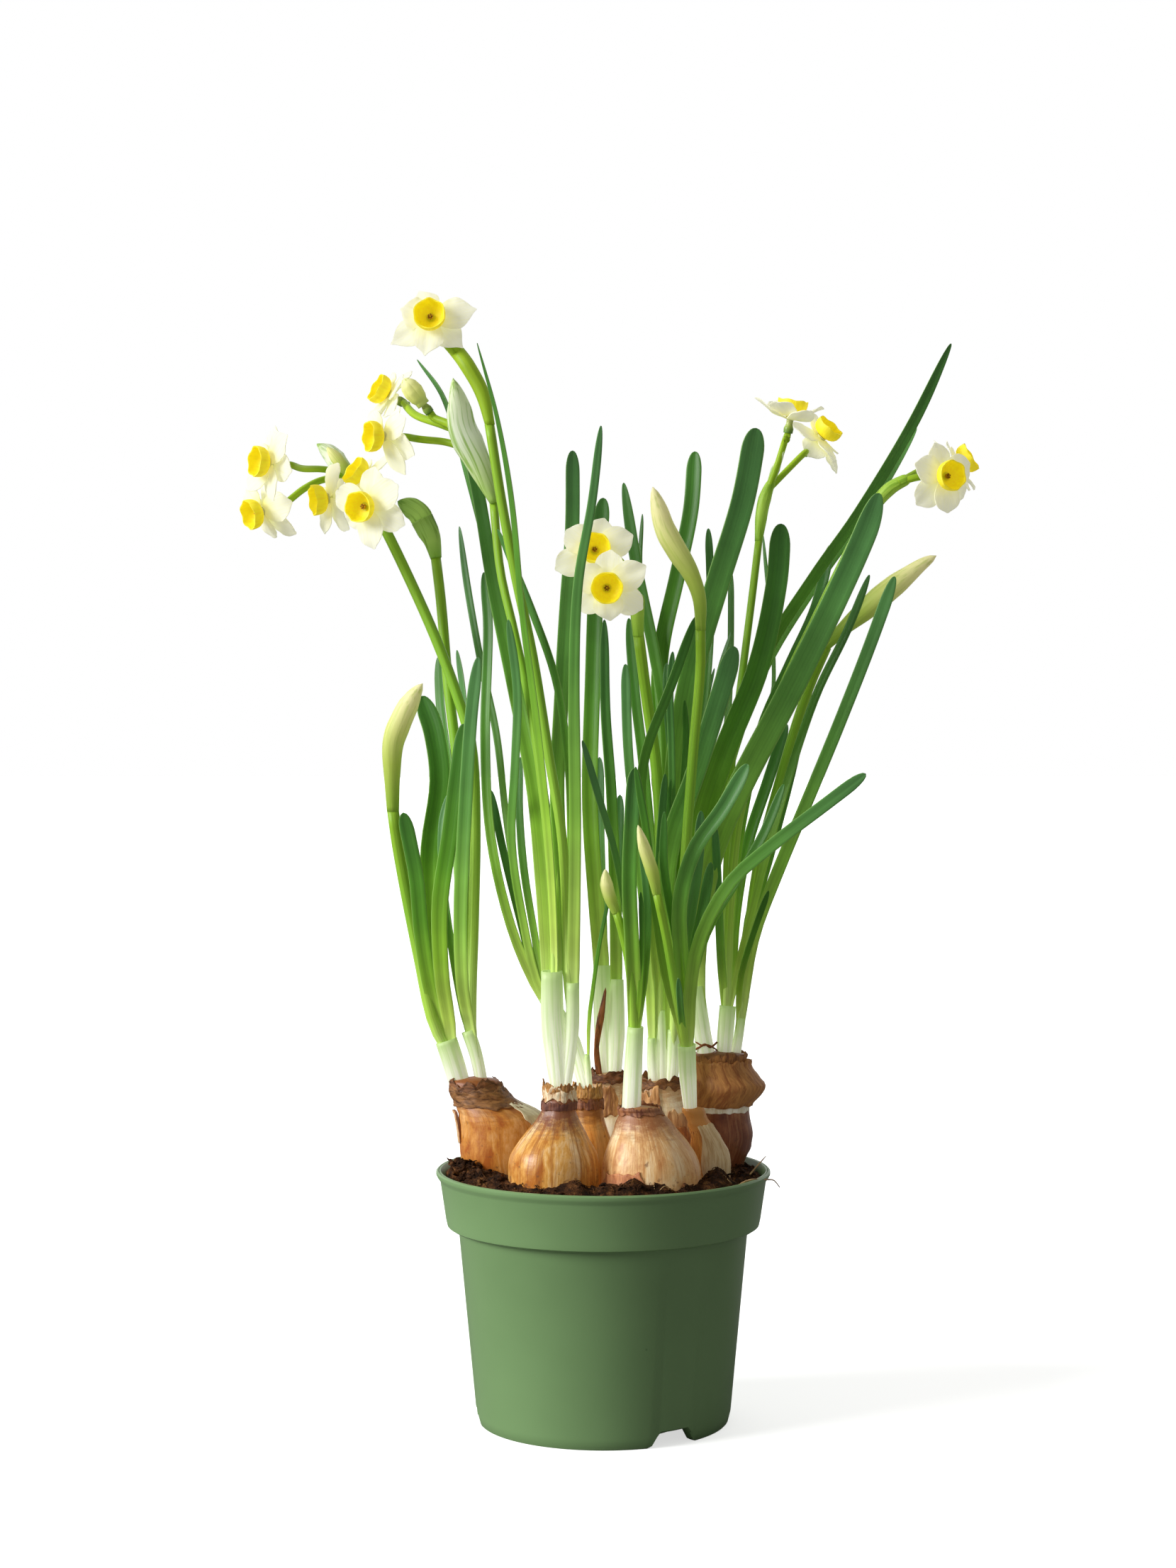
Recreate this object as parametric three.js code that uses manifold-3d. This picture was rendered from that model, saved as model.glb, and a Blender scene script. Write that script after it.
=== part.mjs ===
// Miniature daffodils with several flowers to a stem, in bloom in a green nursery pot.
// Millimetres, +Z up. The origin is the middle of the pot's base, and the front faces -Y.
import * as THREE from 'three';
import { mergeVertices } from 'three/addons/utils/BufferGeometryUtils.js';
import Module from 'manifold-3d';

const wasm = await Module();
wasm.setup();

// Driving dimensions of the pot
const RIM_RADIUS = 60;
const POT_HEIGHT = 90;
const LIP_WIDTH = 1.9;
const LIP_HEIGHT = 3.2;
const LIP_BEVEL = 0.9;
const COLLAR_TOP_RADIUS = 58.6;
const COLLAR_FOOT_RADIUS = 56.5;
const COLLAR_FOOT_HEIGHT = 72.8;
const BODY_TOP_RADIUS = 51.9;
const BODY_TOP_HEIGHT = 68.7;
const BODY_FOOT_RADIUS = 45.8;
const SHELF_RISE = 1.2;
const SHELF_ROUNDING = 1.4;
const FOOT_HEIGHT = 4;
const FOOT_RADIUS = 44.9;
const POT_WALL = 1.2;
const PAD_RADIUS = 30;
const PAD_THICKNESS = 2;
const PAD_SLOPE = 1.2;
const FOOT_RING_WIDTH = 3;
const FOOT_RING_SLOPE = 0.8;
const POT_SEGMENTS = 28;
const NOTCH_COUNT = 3;
const NOTCH_WIDTH = 14;
const NOTCH_HEIGHT = 5;
const NOTCH_DEPTH = 7;
const NOTCH_INSET = 0.9;
const NOTCH_FIRST_ANGLE = -57;
const DRAIN_COUNT = 6;
const DRAIN_RADIUS = 3.2;
const DRAIN_CIRCLE_RADIUS = 35.8;
const DRAIN_SEGMENTS = 6;

// Driving dimensions of the soil and of the clearance between neighbours
const SOIL_HEIGHT = 87;
const SOIL_RELIEF = 1.6;
const SOIL_EDGE_DROP = 3;
const SOIL_EDGE_RADIUS = 56;
const SOIL_RING_RADII = [44, 28, 12, 0];
const SOIL_WAVES = [0.31, 0.27, 0.7, 0.55];
const CLEARANCE = 0.32;
const BULB_CLEARANCE = 0.6;

// Driving dimensions of the leaves and stems
const BULB_SEGMENTS = 12;
const LEAF_THICKNESS = 1.2;
const LEAF_CHANNEL = 0.12;
const LEAF_STEP_LENGTH = 28;
const LEAF_STEPS_LEAST = 4;
const LEAF_TIP_CROWDING = 1.4;
const NARROW_LEAF = 4.3;
const ROOT_MARGIN = 1;
const TIP_WIDTH_SHARE = 0.1;
const TIP_THICKNESS_SHARE = 0.45;
const STALK_GAP = 0.4;
const STALK_APPROACH = 2.4;

// Driving dimensions of the flowers
const PETAL_THICKNESS = 0.7;
const PETAL_WIDTHS = [2.6, 7.4, 9.6, 7.2, 3.4];
const PETAL_LENGTH = 11.5;
const PETAL_ARCH = -0.08;
const PETAL_TIP_LENGTH = 3.4;
const PETAL_CURL = 0.05;
const PETAL_LAYER_STEP = 1.1;
const PETAL_LAYER_SWEEP = 6;
const PETAL_FOOT = 0.13;
const PETAL_SEED = 97;
const PETAL_SEED_STEP = 31;
const HUB_RADIUS = 2.2;
const HUB_DEPTH = 2.2;
const TUBE_RADIUS = 1.3;
const TUBE_LENGTH = 7;
const CLOSED_WIDTHS = [2.4, 6.4, 7.4, 3];
const CLOSED_MIDDLE = 4;
const CLOSED_LENGTH = 9;
const CUP_SEAT = 0.35;
const CUP_RADIUS = 5.1;
const CUP_DEPTH = 4.9;
const CUP_WALL = 0.8;
const CUP_FOOT_SHARE = 0.42;
const CUP_THROAT_SHARE = 0.34;
const CUP_BELLY_SHARE = 0.8;
const CUP_BELLY_HEIGHT = 0.45;
const CUP_LOBES = 4;
const CUP_LOBE_RELIEF = 0.06;

// Outlines are noted as they look from one metre in front of the pot and 250 mm above its foot
const EYE_DISTANCE = 1000;
const EYE_HEIGHT = 250;

// The clump opens out towards the front and the back as it rises out of the bulbs
const FAN_START = 130;
const FAN_HEIGHT = 270;
const FAN_FRONT = 0.75;
const FAN_BACK = 1.3;

// The point that looks to be at x, z on the upright plane through the pot's middle.
// It lies y behind that plane, and further where the clump has opened out.
function seen(x, z, y) {
  const rise = Math.max(z - FAN_START, 0) / FAN_HEIGHT;
  const depth = y * (1 + rise * (y < 0 ? FAN_FRONT : FAN_BACK));
  const scale = 1 + depth / EYE_DISTANCE;
  return new THREE.Vector3(x * scale, depth, EYE_HEIGHT + (z - EYE_HEIGHT) * scale);
}

// The value at a fraction of the way along an evenly spaced list
function along(list, fraction) {
  const values = Array.isArray(list) ? list : [list];
  const place = Math.min(Math.max(fraction, 0), 1) * (values.length - 1);
  const before = Math.floor(place);
  const after = Math.min(before + 1, values.length - 1);
  return values[before] + (values[after] - values[before]) * (place - before);
}

// Repeatable draws between -1 and 1
function makeDice(seed) {
  let state = seed;
  return () => {
    state = (state * 16807) % 2147483647;
    return (state / 2147483647) * 2 - 1;
  };
}

function toSolid(geometry) {
  const bare = geometry.clone();
  bare.deleteAttribute('normal');
  bare.deleteAttribute('uv');
  const merged = mergeVertices(bare, 1e-4);
  const vertProperties = new Float32Array(merged.attributes.position.array);
  const triVerts = new Uint32Array(merged.index.array);
  return new wasm.Manifold(new wasm.Mesh({ numProp: 3, vertProperties, triVerts }));
}

function toGeometry(solid) {
  const mesh = solid.getMesh();
  const geometry = new THREE.BufferGeometry();
  geometry.setAttribute('position', new THREE.BufferAttribute(new Float32Array(mesh.vertProperties), 3));
  geometry.setIndex(new THREE.BufferAttribute(new Uint32Array(mesh.triVerts), 1));
  geometry.computeVertexNormals();
  return geometry;
}

// Joins solids, and keeps the largest body without scraps or sealed hollows
function fuse(solids) {
  let whole = solids[0];
  for (const solid of solids.slice(1)) {
    whole = whole.add(solid);
  }
  return largest(whole);
}

function largest(solid) {
  const bodies = solid.decompose();
  bodies.sort((one, other) => other.volume() - one.volume());
  return bodies[0];
}

// A closed limb along a smooth path: a leaf, a stem, a bud or a petal, from its foot to its tip.
// Across, it is a lens of the given width and thickness that can be turned about the path and folded.
// Without a thickness it is as thick as it is wide. The tip rounds off over the length of the taper.
function limb({
  points,
  width,
  thickness = 0,
  sides,
  steps,
  turn = 0,
  channel = 0,
  taper = 0,
  crowding = 1,
  across = new THREE.Vector3(0, 1, 0),
  grow = 0,
}) {
  const curve = new THREE.CatmullRomCurve3(points, false, 'centripetal');
  const length = curve.getLength();
  const geometry = new THREE.CylinderGeometry(1, 1, 1, sides, steps);
  const position = geometry.attributes.position;
  const corner = new THREE.Vector3();
  for (let i = 0; i < position.count; i += 1) {
    corner.fromBufferAttribute(position, i);
    const fraction = 1 - Math.pow(Math.max(0.5 - corner.y, 0), crowding);
    const centre = curve.getPointAt(fraction);
    const tangent = curve.getTangentAt(fraction);
    const level = across.clone().cross(tangent).normalize();
    const facing = level.clone().cross(tangent).normalize();
    const angle = THREE.MathUtils.degToRad(along(turn, fraction));
    const side = level.clone().multiplyScalar(Math.cos(angle)).addScaledVector(facing, Math.sin(angle));
    const front = side.clone().cross(tangent).normalize();
    const rest = taper > 0 ? Math.min(((1 - fraction) * length) / taper, 1) : 1;
    const rounding = Math.sqrt(1 - (1 - rest) * (1 - rest));
    const fullness = TIP_WIDTH_SHARE + (1 - TIP_WIDTH_SHARE) * rounding;
    const fullWidth = along(width, fraction);
    const halfWidth = (fullWidth / 2) * fullness + grow;
    const halfThickness = ((thickness || fullWidth) / 2) * Math.max(fullness, TIP_THICKNESS_SHARE) + grow;
    const fold = channel * halfWidth * (1 - Math.abs(corner.x));
    const overrun = (fraction === 1 ? grow : 0) - (fraction === 0 ? grow : 0);
    centre.addScaledVector(side, corner.x * halfWidth);
    centre.addScaledVector(front, corner.z * halfThickness - fold);
    centre.addScaledVector(tangent, overrun);
    position.setXYZ(i, centre.x, centre.y, centre.z);
  }
  return toSolid(geometry);
}

// A path from the foot up, of points noted from the tip down at depths spread over them
function climb(outline, depths) {
  const last = outline.length - 1;
  return outline.map(([x, z], i) => seen(x, z, along(depths, i / last))).reverse();
}

const reversed = (list) => (Array.isArray(list) ? [...list].reverse() : list);

// A profile of radii and heights turned about the upright axis
function turnUpright(profile, segments) {
  const points = profile.map(([radius, height]) => new THREE.Vector2(radius, height));
  const turned = new THREE.LatheGeometry(points, segments);
  turned.rotateX(Math.PI / 2);
  return turned;
}

// Pot: a thin shell with a deep collar and a flat lip, standing on a middle pad and a notched ring

function buildPot() {
  const inner = (radius) => radius - POT_WALL;
  const collarTop = POT_HEIGHT - LIP_HEIGHT;
  const shelf = BODY_TOP_HEIGHT + SHELF_RISE;
  const floor = FOOT_HEIGHT + PAD_THICKNESS;
  const ringInner = FOOT_RADIUS - FOOT_RING_WIDTH;
  const turned = turnUpright([
    [0, 0],
    [PAD_RADIUS, 0],
    [PAD_RADIUS + PAD_SLOPE, FOOT_HEIGHT],
    [ringInner - FOOT_RING_SLOPE, FOOT_HEIGHT],
    [ringInner, 0],
    [FOOT_RADIUS, 0],
    [BODY_FOOT_RADIUS, FOOT_HEIGHT],
    [BODY_TOP_RADIUS, BODY_TOP_HEIGHT],
    [COLLAR_FOOT_RADIUS - SHELF_ROUNDING, shelf],
    [COLLAR_FOOT_RADIUS, COLLAR_FOOT_HEIGHT],
    [COLLAR_TOP_RADIUS, collarTop],
    [RIM_RADIUS, collarTop + LIP_BEVEL],
    [RIM_RADIUS, POT_HEIGHT],
    [RIM_RADIUS - LIP_WIDTH, POT_HEIGHT],
    [inner(COLLAR_TOP_RADIUS), collarTop],
    [inner(COLLAR_FOOT_RADIUS), COLLAR_FOOT_HEIGHT],
    [inner(BODY_TOP_RADIUS), shelf],
    [inner(BODY_FOOT_RADIUS), floor],
    [PAD_RADIUS, floor],
    [PAD_RADIUS - PAD_SLOPE, PAD_THICKNESS],
    [0, PAD_THICKNESS],
  ], POT_SEGMENTS);
  let pot = toSolid(turned);
  for (let i = 0; i < NOTCH_COUNT; i += 1) {
    const angle = THREE.MathUtils.degToRad(NOTCH_FIRST_ANGLE + (i * 360) / NOTCH_COUNT);
    const notch = new THREE.BoxGeometry(NOTCH_DEPTH, NOTCH_WIDTH, NOTCH_HEIGHT * 2);
    notch.translate(FOOT_RADIUS - NOTCH_INSET, 0, 0);
    notch.rotateZ(angle);
    pot = pot.subtract(toSolid(notch));
  }
  for (let i = 0; i < DRAIN_COUNT; i += 1) {
    const drain = new THREE.CylinderGeometry(DRAIN_RADIUS, DRAIN_RADIUS, 3 * FOOT_HEIGHT, DRAIN_SEGMENTS);
    drain.rotateX(Math.PI / 2);
    drain.translate(DRAIN_CIRCLE_RADIUS, 0, FOOT_HEIGHT);
    drain.rotateZ((i * 2 * Math.PI) / DRAIN_COUNT);
    pot = pot.subtract(toSolid(drain));
  }
  return pot;
}

// Soil: fills the shell up to a little below the lip, with a lumpy top

function buildSoil() {
  const inner = (radius) => radius - POT_WALL - CLEARANCE;
  const floor = FOOT_HEIGHT + PAD_THICKNESS + CLEARANCE;
  const turned = turnUpright([
    [0, PAD_THICKNESS + CLEARANCE],
    [PAD_RADIUS - PAD_SLOPE - CLEARANCE, PAD_THICKNESS + CLEARANCE],
    [PAD_RADIUS - CLEARANCE, floor],
    [inner(BODY_FOOT_RADIUS), floor],
    [inner(BODY_TOP_RADIUS), BODY_TOP_HEIGHT + SHELF_RISE + CLEARANCE],
    [inner(COLLAR_FOOT_RADIUS), COLLAR_FOOT_HEIGHT + CLEARANCE],
    [SOIL_EDGE_RADIUS, SOIL_HEIGHT - SOIL_EDGE_DROP],
    ...SOIL_RING_RADII.map((radius) => [radius, SOIL_HEIGHT]),
  ], POT_SEGMENTS);
  const position = turned.attributes.position;
  const [xWave, yWave, xRipple, yRipple] = SOIL_WAVES;
  for (let i = 0; i < position.count; i += 1) {
    const x = position.getX(i);
    const y = position.getY(i);
    if (position.getZ(i) > SOIL_HEIGHT - 1) {
      const wave = Math.sin(x * xWave + 1) * Math.cos(y * yWave);
      const ripple = Math.sin(x * xRipple + y * yRipple) / 2;
      position.setZ(i, SOIL_HEIGHT + SOIL_RELIEF * (wave + ripple));
    }
  }
  return toSolid(turned);
}

// Bulbs: height, half width and place of the middle of each ring, from the base plate up to the neck.
// The whole stands y behind the pot's middle, and its depth is a share of its width.

const bulbs = {
  1: {
    y: 5,
    deep: 0.85,
    rings: [
      [64, 0, -34], [70, 8, -34], [84, 13, -35.5], [94, 15.7, -35.8], [106, 15.6, -36.4],
      [109, 15, -37.5], [111, 13.5, -39.5], [114, 10.8, -43], [118, 9.4, -45.4], [122, 7.6, -46.4],
      [122.6, 0, -46.4],
    ],
  },
  2: {
    y: -30,
    deep: 1,
    rings: [
      [64, 0, -17], [72, 11.5, -17], [84, 15.4, -17.2], [94, 16.1, -17.2], [100, 15.1, -17.1],
      [104, 12.9, -16.9], [108, 10.1, -16.3], [112, 7.5, -15.8], [115, 5.9, -15.5], [119.6, 5.4, -15.2],
      [120.6, 0, -15.2],
    ],
  },
  3: {
    y: -28,
    deep: 0.95,
    rings: [
      [63, 0, 16.5], [71, 13.6, 16.6], [83, 17.6, 16.8], [94, 17.5, 16.7], [99, 16.3, 16.4],
      [104, 13.9, 15.7], [108, 11.2, 14.8], [112, 8.9, 13.9], [114.6, 7.3, 13], [116, 6.8, 12.6],
      [116.6, 0, 12.6],
    ],
  },
  4: {
    y: 17,
    deep: 0.85,
    rings: [
      [68, 0, 40], [76, 7, 40], [90, 10.8, 41], [99, 12.6, 42.2], [107, 11.8, 41.8], [111, 11.4, 42],
      [114, 12.2, 43.8], [117.6, 12.4, 45.4], [121, 10.8, 43.8], [125, 9.6, 42.2], [130, 9.2, 42],
      [130.6, 0, 42],
    ],
  },
  5: {
    y: -5,
    deep: 1,
    rings: [
      [70, 0, -3], [77, 5, -3], [90, 7, -3], [100, 6.6, -3.4], [108, 5.2, -4.8], [119.6, 4.4, -5.6],
      [120.2, 0, -5.6],
    ],
  },
  6: {
    y: 20,
    deep: 0.95,
    rings: [
      [66, 0, 1], [73, 9.6, 1], [88, 13, 1], [100, 12, 1.2], [108, 9.8, 1.8], [115, 7.8, 2.2],
      [122, 6.8, 2.3], [122.8, 0, 2.3],
    ],
  },
  7: {
    y: 4,
    deep: 0.85,
    rings: [
      [67, 0, 20], [75, 9, 20.2], [90, 12, 21], [101, 12, 21.4], [108, 11, 21.8], [114, 9.4, 21.4],
      [121, 7.4, 21], [122, 0, 21],
    ],
  },
  8: {
    y: -12,
    deep: 1,
    rings: [
      [70, 0, 37], [77, 5.4, 37.1], [89, 7, 37.8], [98, 6.5, 37.6], [104, 5, 36], [109, 3.9, 33.6],
      [113.6, 3.7, 31.8], [114.2, 0, 31.8],
    ],
  },
};

// The place of a bulb's middle at a height between two of its rings
function middleAt(rings, height) {
  const above = rings.findIndex((ring) => ring[0] >= height);
  const [high, , highMiddle] = above < 0 ? rings[rings.length - 1] : rings[above];
  const [low, , lowMiddle] = above < 1 ? [high, 0, highMiddle] : rings[above - 1];
  return high > low ? lowMiddle + ((highMiddle - lowMiddle) * (height - low)) / (high - low) : highMiddle;
}

function buildBulb({ y, deep, rings }, grow = 0) {
  const profile = rings.map(([height, radius], i) => {
    const end = i === 0 ? -grow : grow;
    return radius === 0 ? [0, height + end] : [radius + grow, height];
  });
  const turned = turnUpright(profile, BULB_SEGMENTS);
  const position = turned.attributes.position;
  for (let i = 0; i < position.count; i += 1) {
    position.setX(i, position.getX(i) + middleAt(rings, position.getZ(i)));
    position.setY(i, position.getY(i) * deep + y);
  }
  return toSolid(turned);
}

// Growth of each bulb. A crown fills the neck, pale sheaths stand on it, and leaves and stems rise from them.
// Outlines are noted from the tip down. Depths (y) and widths are spread from the tip to the foot.
// A blade's turn is how far it is turned away from the front, in degrees.

const growth = {
  1: {
    crown: { width: 12.5, thickness: 8, points: [seen(-47.4, 121.6, 5), seen(-46, 116, 5)] },
    sheaths: {
      a: { width: [8, 8, 7.4], thickness: 6, y: 5, at: [[-56.5, 136], [-53.6, 127], [-50.6, 116.5]] },
      b: { width: [5, 4.6, 4.4], thickness: 5, y: 6, at: [[-48.6, 139.5], [-45.6, 130], [-43, 116.5]] },
    },
    leaves: [
      {
        from: 'a', y: [-4, 4], width: 5.6, turn: 10, taper: 7,
        at: [[-72, 218], [-70, 209], [-67.2, 194], [-65.6, 176], [-63, 159], [-58.6, 141]],
      },
      {
        from: 'a', y: [16, 6], width: [7.6, 7.6, 5.5], turn: -8, taper: 9,
        at: [[-65.5, 260], [-61, 247], [-58.9, 229], [-62, 206], [-62, 186], [-60, 165], [-57, 142]],
      },
      {
        from: 'a', y: [-9, 0], width: [5.6, 6.2, 5], turn: 12, taper: 9,
        at: [[-50.2, 250], [-52.6, 232], [-55.4, 209], [-58.8, 185], [-58.2, 160], [-55.6, 141]],
      },
      {
        from: 'b', y: [-13, -3], width: [4.6, 5.4, 4.8], turn: 20, taper: 12,
        at: [[-45, 274], [-47.6, 252], [-49.6, 221], [-51.4, 183], [-50.8, 157], [-48.6, 141]],
      },
      {
        from: 'b', y: [12, 9], width: 3.2, turn: 30, taper: 9,
        at: [[-56, 224.5], [-58.2, 213], [-58, 196], [-54, 166], [-49.4, 143]],
      },
      {
        from: 'b', y: [24, 12], width: 3.4, turn: 40, taper: 12,
        at: [[-52.7, 276.5], [-50.6, 262], [-48.4, 235], [-47.6, 190], [-48, 143]],
      },
      {
        from: 'b', y: [32, 14], width: 4.4, turn: 35, taper: 10,
        at: [[-59.5, 274], [-58.6, 256], [-55.6, 232], [-52, 195], [-48.6, 143]],
      },
    ],
    stems: [
      {
        from: 'a', y: [-1, 7], width: 4.3,
        at: [[-75.7, 219], [-74.2, 208], [-71, 190], [-66, 165], [-61, 143]],
      },
      {
        from: 'b', y: [15, 8], width: 3.9,
        at: [
          [-87, 334.6], [-80, 323], [-68.8, 300], [-60, 280], [-52.5, 260], [-47.4, 242], [-46, 215],
          [-46.6, 180], [-47.4, 143],
        ],
      },
      {
        from: 'b', y: [18, 12], width: 3.8,
        at: [[-60.3, 310], [-58.4, 294], [-55.8, 264], [-52.3, 233], [-50, 190], [-48.4, 143]],
      },
    ],
  },
  2: {
    crown: { width: 8.2, thickness: 7.4, points: [seen(-15.2, 120.5, -30), seen(-15.6, 115, -30)] },
    sheaths: {
      a: { width: [7.4, 8.2, 5.6], thickness: 5.6, y: -30, at: [[-18.5, 161], [-18.2, 143], [-15.8, 116]] },
      b: { width: [4.6, 4.8, 3.4], thickness: 4.6, y: -30, at: [[-11, 157], [-11.2, 140], [-13.8, 116]] },
    },
    leaves: [
      {
        from: 'a', y: [2, -8, -30], width: [4.4, 5, 6.4, 8.6, 7.4], turn: 8, taper: 8,
        at: [[-49.5, 353], [-45, 333], [-39.4, 300], [-31.5, 263], [-24.5, 230], [-20.8, 200], [-18.8, 168]],
      },
      {
        from: 'a', y: [8, 0, -29], width: 3.2, turn: 50, taper: 30,
        at: [[-67, 381], [-57.5, 367], [-48.5, 337], [-37, 290], [-26, 236], [-20, 190], [-18, 165]],
      },
      {
        from: 'a', y: [-34, -33], width: [2.6, 3.6, 3.4], turn: 50, taper: 70,
        at: [[-45.4, 387], [-38.2, 360], [-33, 330], [-29.2, 290], [-24, 250], [-19.4, 205], [-17.6, 165]],
      },
      {
        from: 'b', y: [-22, -29], width: 3.6, turn: 40, taper: 20,
        at: [[-38, 320], [-25.4, 290], [-16.9, 265], [-12.6, 235], [-11.6, 195], [-11.4, 160]],
      },
      {
        from: 'b', y: [-6, -28], width: 5.2, turn: -12, taper: 8,
        at: [[-11, 348.3], [-11.2, 320], [-13.3, 290], [-15, 260], [-16.6, 225], [-14.6, 190], [-12, 160]],
      },
      {
        from: 'b', y: [-44, -31], width: [2.6, 4.2, 4.6], turn: 8, taper: 14,
        at: [[-0.8, 357.3], [-4, 330], [-9.1, 300], [-10.5, 265], [-10.1, 215], [-10.8, 160]],
      },
    ],
    stems: [
      {
        from: 'b', y: [-24, -30], width: 3.4,
        at: [[-41, 358], [-36.6, 330], [-31.5, 303], [-25.5, 275], [-19.5, 238], [-14.6, 207], [-12.6, 165]],
      },
      {
        from: 'a', y: [-13, -29], width: 3,
        at: [[-39.5, 330], [-37, 305], [-32, 283], [-25.5, 252], [-19.6, 205], [-17.4, 165]],
      },
    ],
  },
  3: {
    crown: { width: 8.4, thickness: 8, points: [seen(10, 113.6, -28), seen(11.4, 108, -28)] },
    sheaths: {
      a: { width: [5.6, 6.4, 6.8], thickness: 6.4, y: -28, at: [[11.6, 141], [10.8, 127], [10, 109]] },
    },
    leaves: [
      {
        from: 'a', y: [-36, -29], width: 5.2, turn: 0, taper: 7,
        at: [[11.4, 234], [10.2, 215], [9.4, 192], [10.6, 166], [11.4, 144]],
      },
      {
        from: 'a', y: [-26, -27], width: 3, turn: 25, taper: 10,
        at: [[13.8, 206], [15.9, 186], [15.2, 163], [12.6, 143]],
      },
      {
        from: 'a', y: [-23, -27], width: 3, turn: -30, taper: 14,
        at: [[-7.5, 244], [-2, 225], [4.6, 202], [9, 175], [11, 145]],
      },
    ],
    stems: [
      {
        from: 'a', y: [-30, -28], width: 3,
        at: [[4.6, 182.5], [6.6, 176], [9.2, 164], [10.8, 144]],
      },
    ],
  },
  4: {
    crown: { width: 14.6, thickness: 9, points: [seen(41.6, 131, 17), seen(41.8, 125, 17)] },
    sheaths: {
      a: { width: [5.8, 6.4, 6.6], thickness: 6, y: 16, at: [[33.4, 155.5], [35.4, 140], [38, 126]] },
      b: { width: [6, 6, 5.4], thickness: 6, y: 17, at: [[44.8, 148.5], [44, 139], [43, 126]] },
      c: { width: [3.4, 3.6, 4], thickness: 4.6, y: 18, at: [[49.6, 144], [48.6, 137], [46.8, 126]] },
    },
    leaves: [
      {
        from: 'a', y: [-8, 2, 12], width: [8.4, 9.2, 9.4, 8], turn: 8, taper: 16,
        at: [
          [99.3, 333], [94, 318], [83.4, 294.5], [66.3, 260], [51, 231], [39, 204], [34, 178], [32.8, 158],
        ],
      },
      {
        from: 'a', y: [9, 14], width: [8, 8.6, 7], turn: -6, taper: 9,
        at: [[64, 322], [62.3, 300], [55.7, 270], [43.7, 240], [35.4, 214], [33, 186], [33, 158]],
      },
      {
        from: 'a', y: [16, 17], width: [4.6, 4.8, 4.4], turn: -25, taper: 34,
        at: [
          [125.2, 386.8], [111.4, 358], [91.5, 325], [76, 303], [58, 274], [44, 232], [36, 190],
          [33.6, 158],
        ],
      },
      {
        from: 'a', y: [23, 18], width: 4.6, turn: 35, taper: 24,
        at: [[112.7, 356.5], [95, 327], [76, 300], [57, 268], [42.5, 225], [36, 190], [33.8, 158]],
      },
      {
        from: 'b', y: [19, 20], width: 4.2, turn: 10, taper: 9,
        at: [[81.9, 314.4], [76.5, 292], [67.5, 272], [57, 248], [49.6, 215], [45.4, 180], [44.4, 150]],
      },
      {
        from: 'b', y: [-1, 10], width: 3.4, turn: 35, taper: 14,
        at: [[95.8, 303.6], [88, 284], [76.5, 260], [66.5, 230], [56, 192], [46.4, 151]],
      },
      {
        from: 'c', y: [-3, 12], width: 4.6, turn: 8, taper: 12,
        at: [[104.9, 303], [95.5, 277], [84.5, 249], [75, 226], [62.5, 196], [54, 173], [50, 147]],
      },
      {
        from: 'c', y: [24, 21], width: 4.8, turn: -10, taper: 10,
        at: [[71, 251], [66.5, 230], [60, 205], [53, 179], [49.8, 147]],
      },
      {
        from: 'b', y: [28, 22], width: 4.4, turn: 20, taper: 10,
        at: [[66, 250], [59.5, 230], [52, 207], [47.6, 182], [45.2, 151]],
      },
      {
        from: 'b', y: [5, 13], width: 3.2, turn: 20, taper: 10,
        at: [[40.2, 214], [41.4, 188], [42.4, 165], [43.6, 151]],
      },
    ],
    stems: [
      {
        from: 'b', y: [13, 16], width: 2.8,
        at: [[56, 316], [53.6, 296], [50.3, 270], [46.6, 240], [44.4, 195], [44.2, 151]],
      },
      {
        from: 'b', y: [2, 9, 15], width: 3.4,
        at: [[92.5, 320.5], [78, 291], [62, 257], [50, 222], [45.6, 185], [44.6, 151]],
      },
      {
        from: 'c', y: [8, 14, 18], width: 3.8,
        at: [[80.3, 277.6], [73.6, 262], [64, 231], [55.2, 196], [49.8, 148]],
      },
    ],
  },
  5: {
    crown: { width: 5.6, thickness: 5.6, points: [seen(-5.4, 121, -5), seen(-5.6, 115, -5)] },
    sheaths: {
      a: {
        width: [5.6, 6, 5],
        thickness: 5,
        y: [0, -2, -5],
        at: [[-20.8, 152], [-12, 137.5], [-5.6, 116.5]],
      },
    },
    leaves: [
      {
        from: 'a', y: [14, 0], width: 4, turn: 20, taper: 12,
        at: [[-43, 304.5], [-41.5, 285], [-42.5, 245], [-40.6, 210], [-33.5, 178], [-23.5, 154]],
      },
      {
        from: 'a', y: [-26, -22, 0], width: 3.4, turn: 25, taper: 14,
        at: [[-34.2, 287.5], [-31, 262], [-31.6, 238], [-33, 208], [-29, 180], [-22.5, 154]],
      },
      {
        from: 'a', y: [6, 2], width: 3.2, turn: 30, taper: 12,
        at: [[-29.8, 238], [-30.2, 220], [-28.6, 198], [-24.4, 172], [-21.2, 154]],
      },
      {
        from: 'a', y: [26, 4], width: 3, turn: 30, taper: 26,
        at: [[-51.8, 321], [-49, 300], [-44, 272], [-38.4, 246], [-34.8, 215], [-29.5, 182], [-22, 154]],
      },
      {
        from: 'a', y: [9, 2], width: 3, turn: 20, taper: 12,
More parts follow.
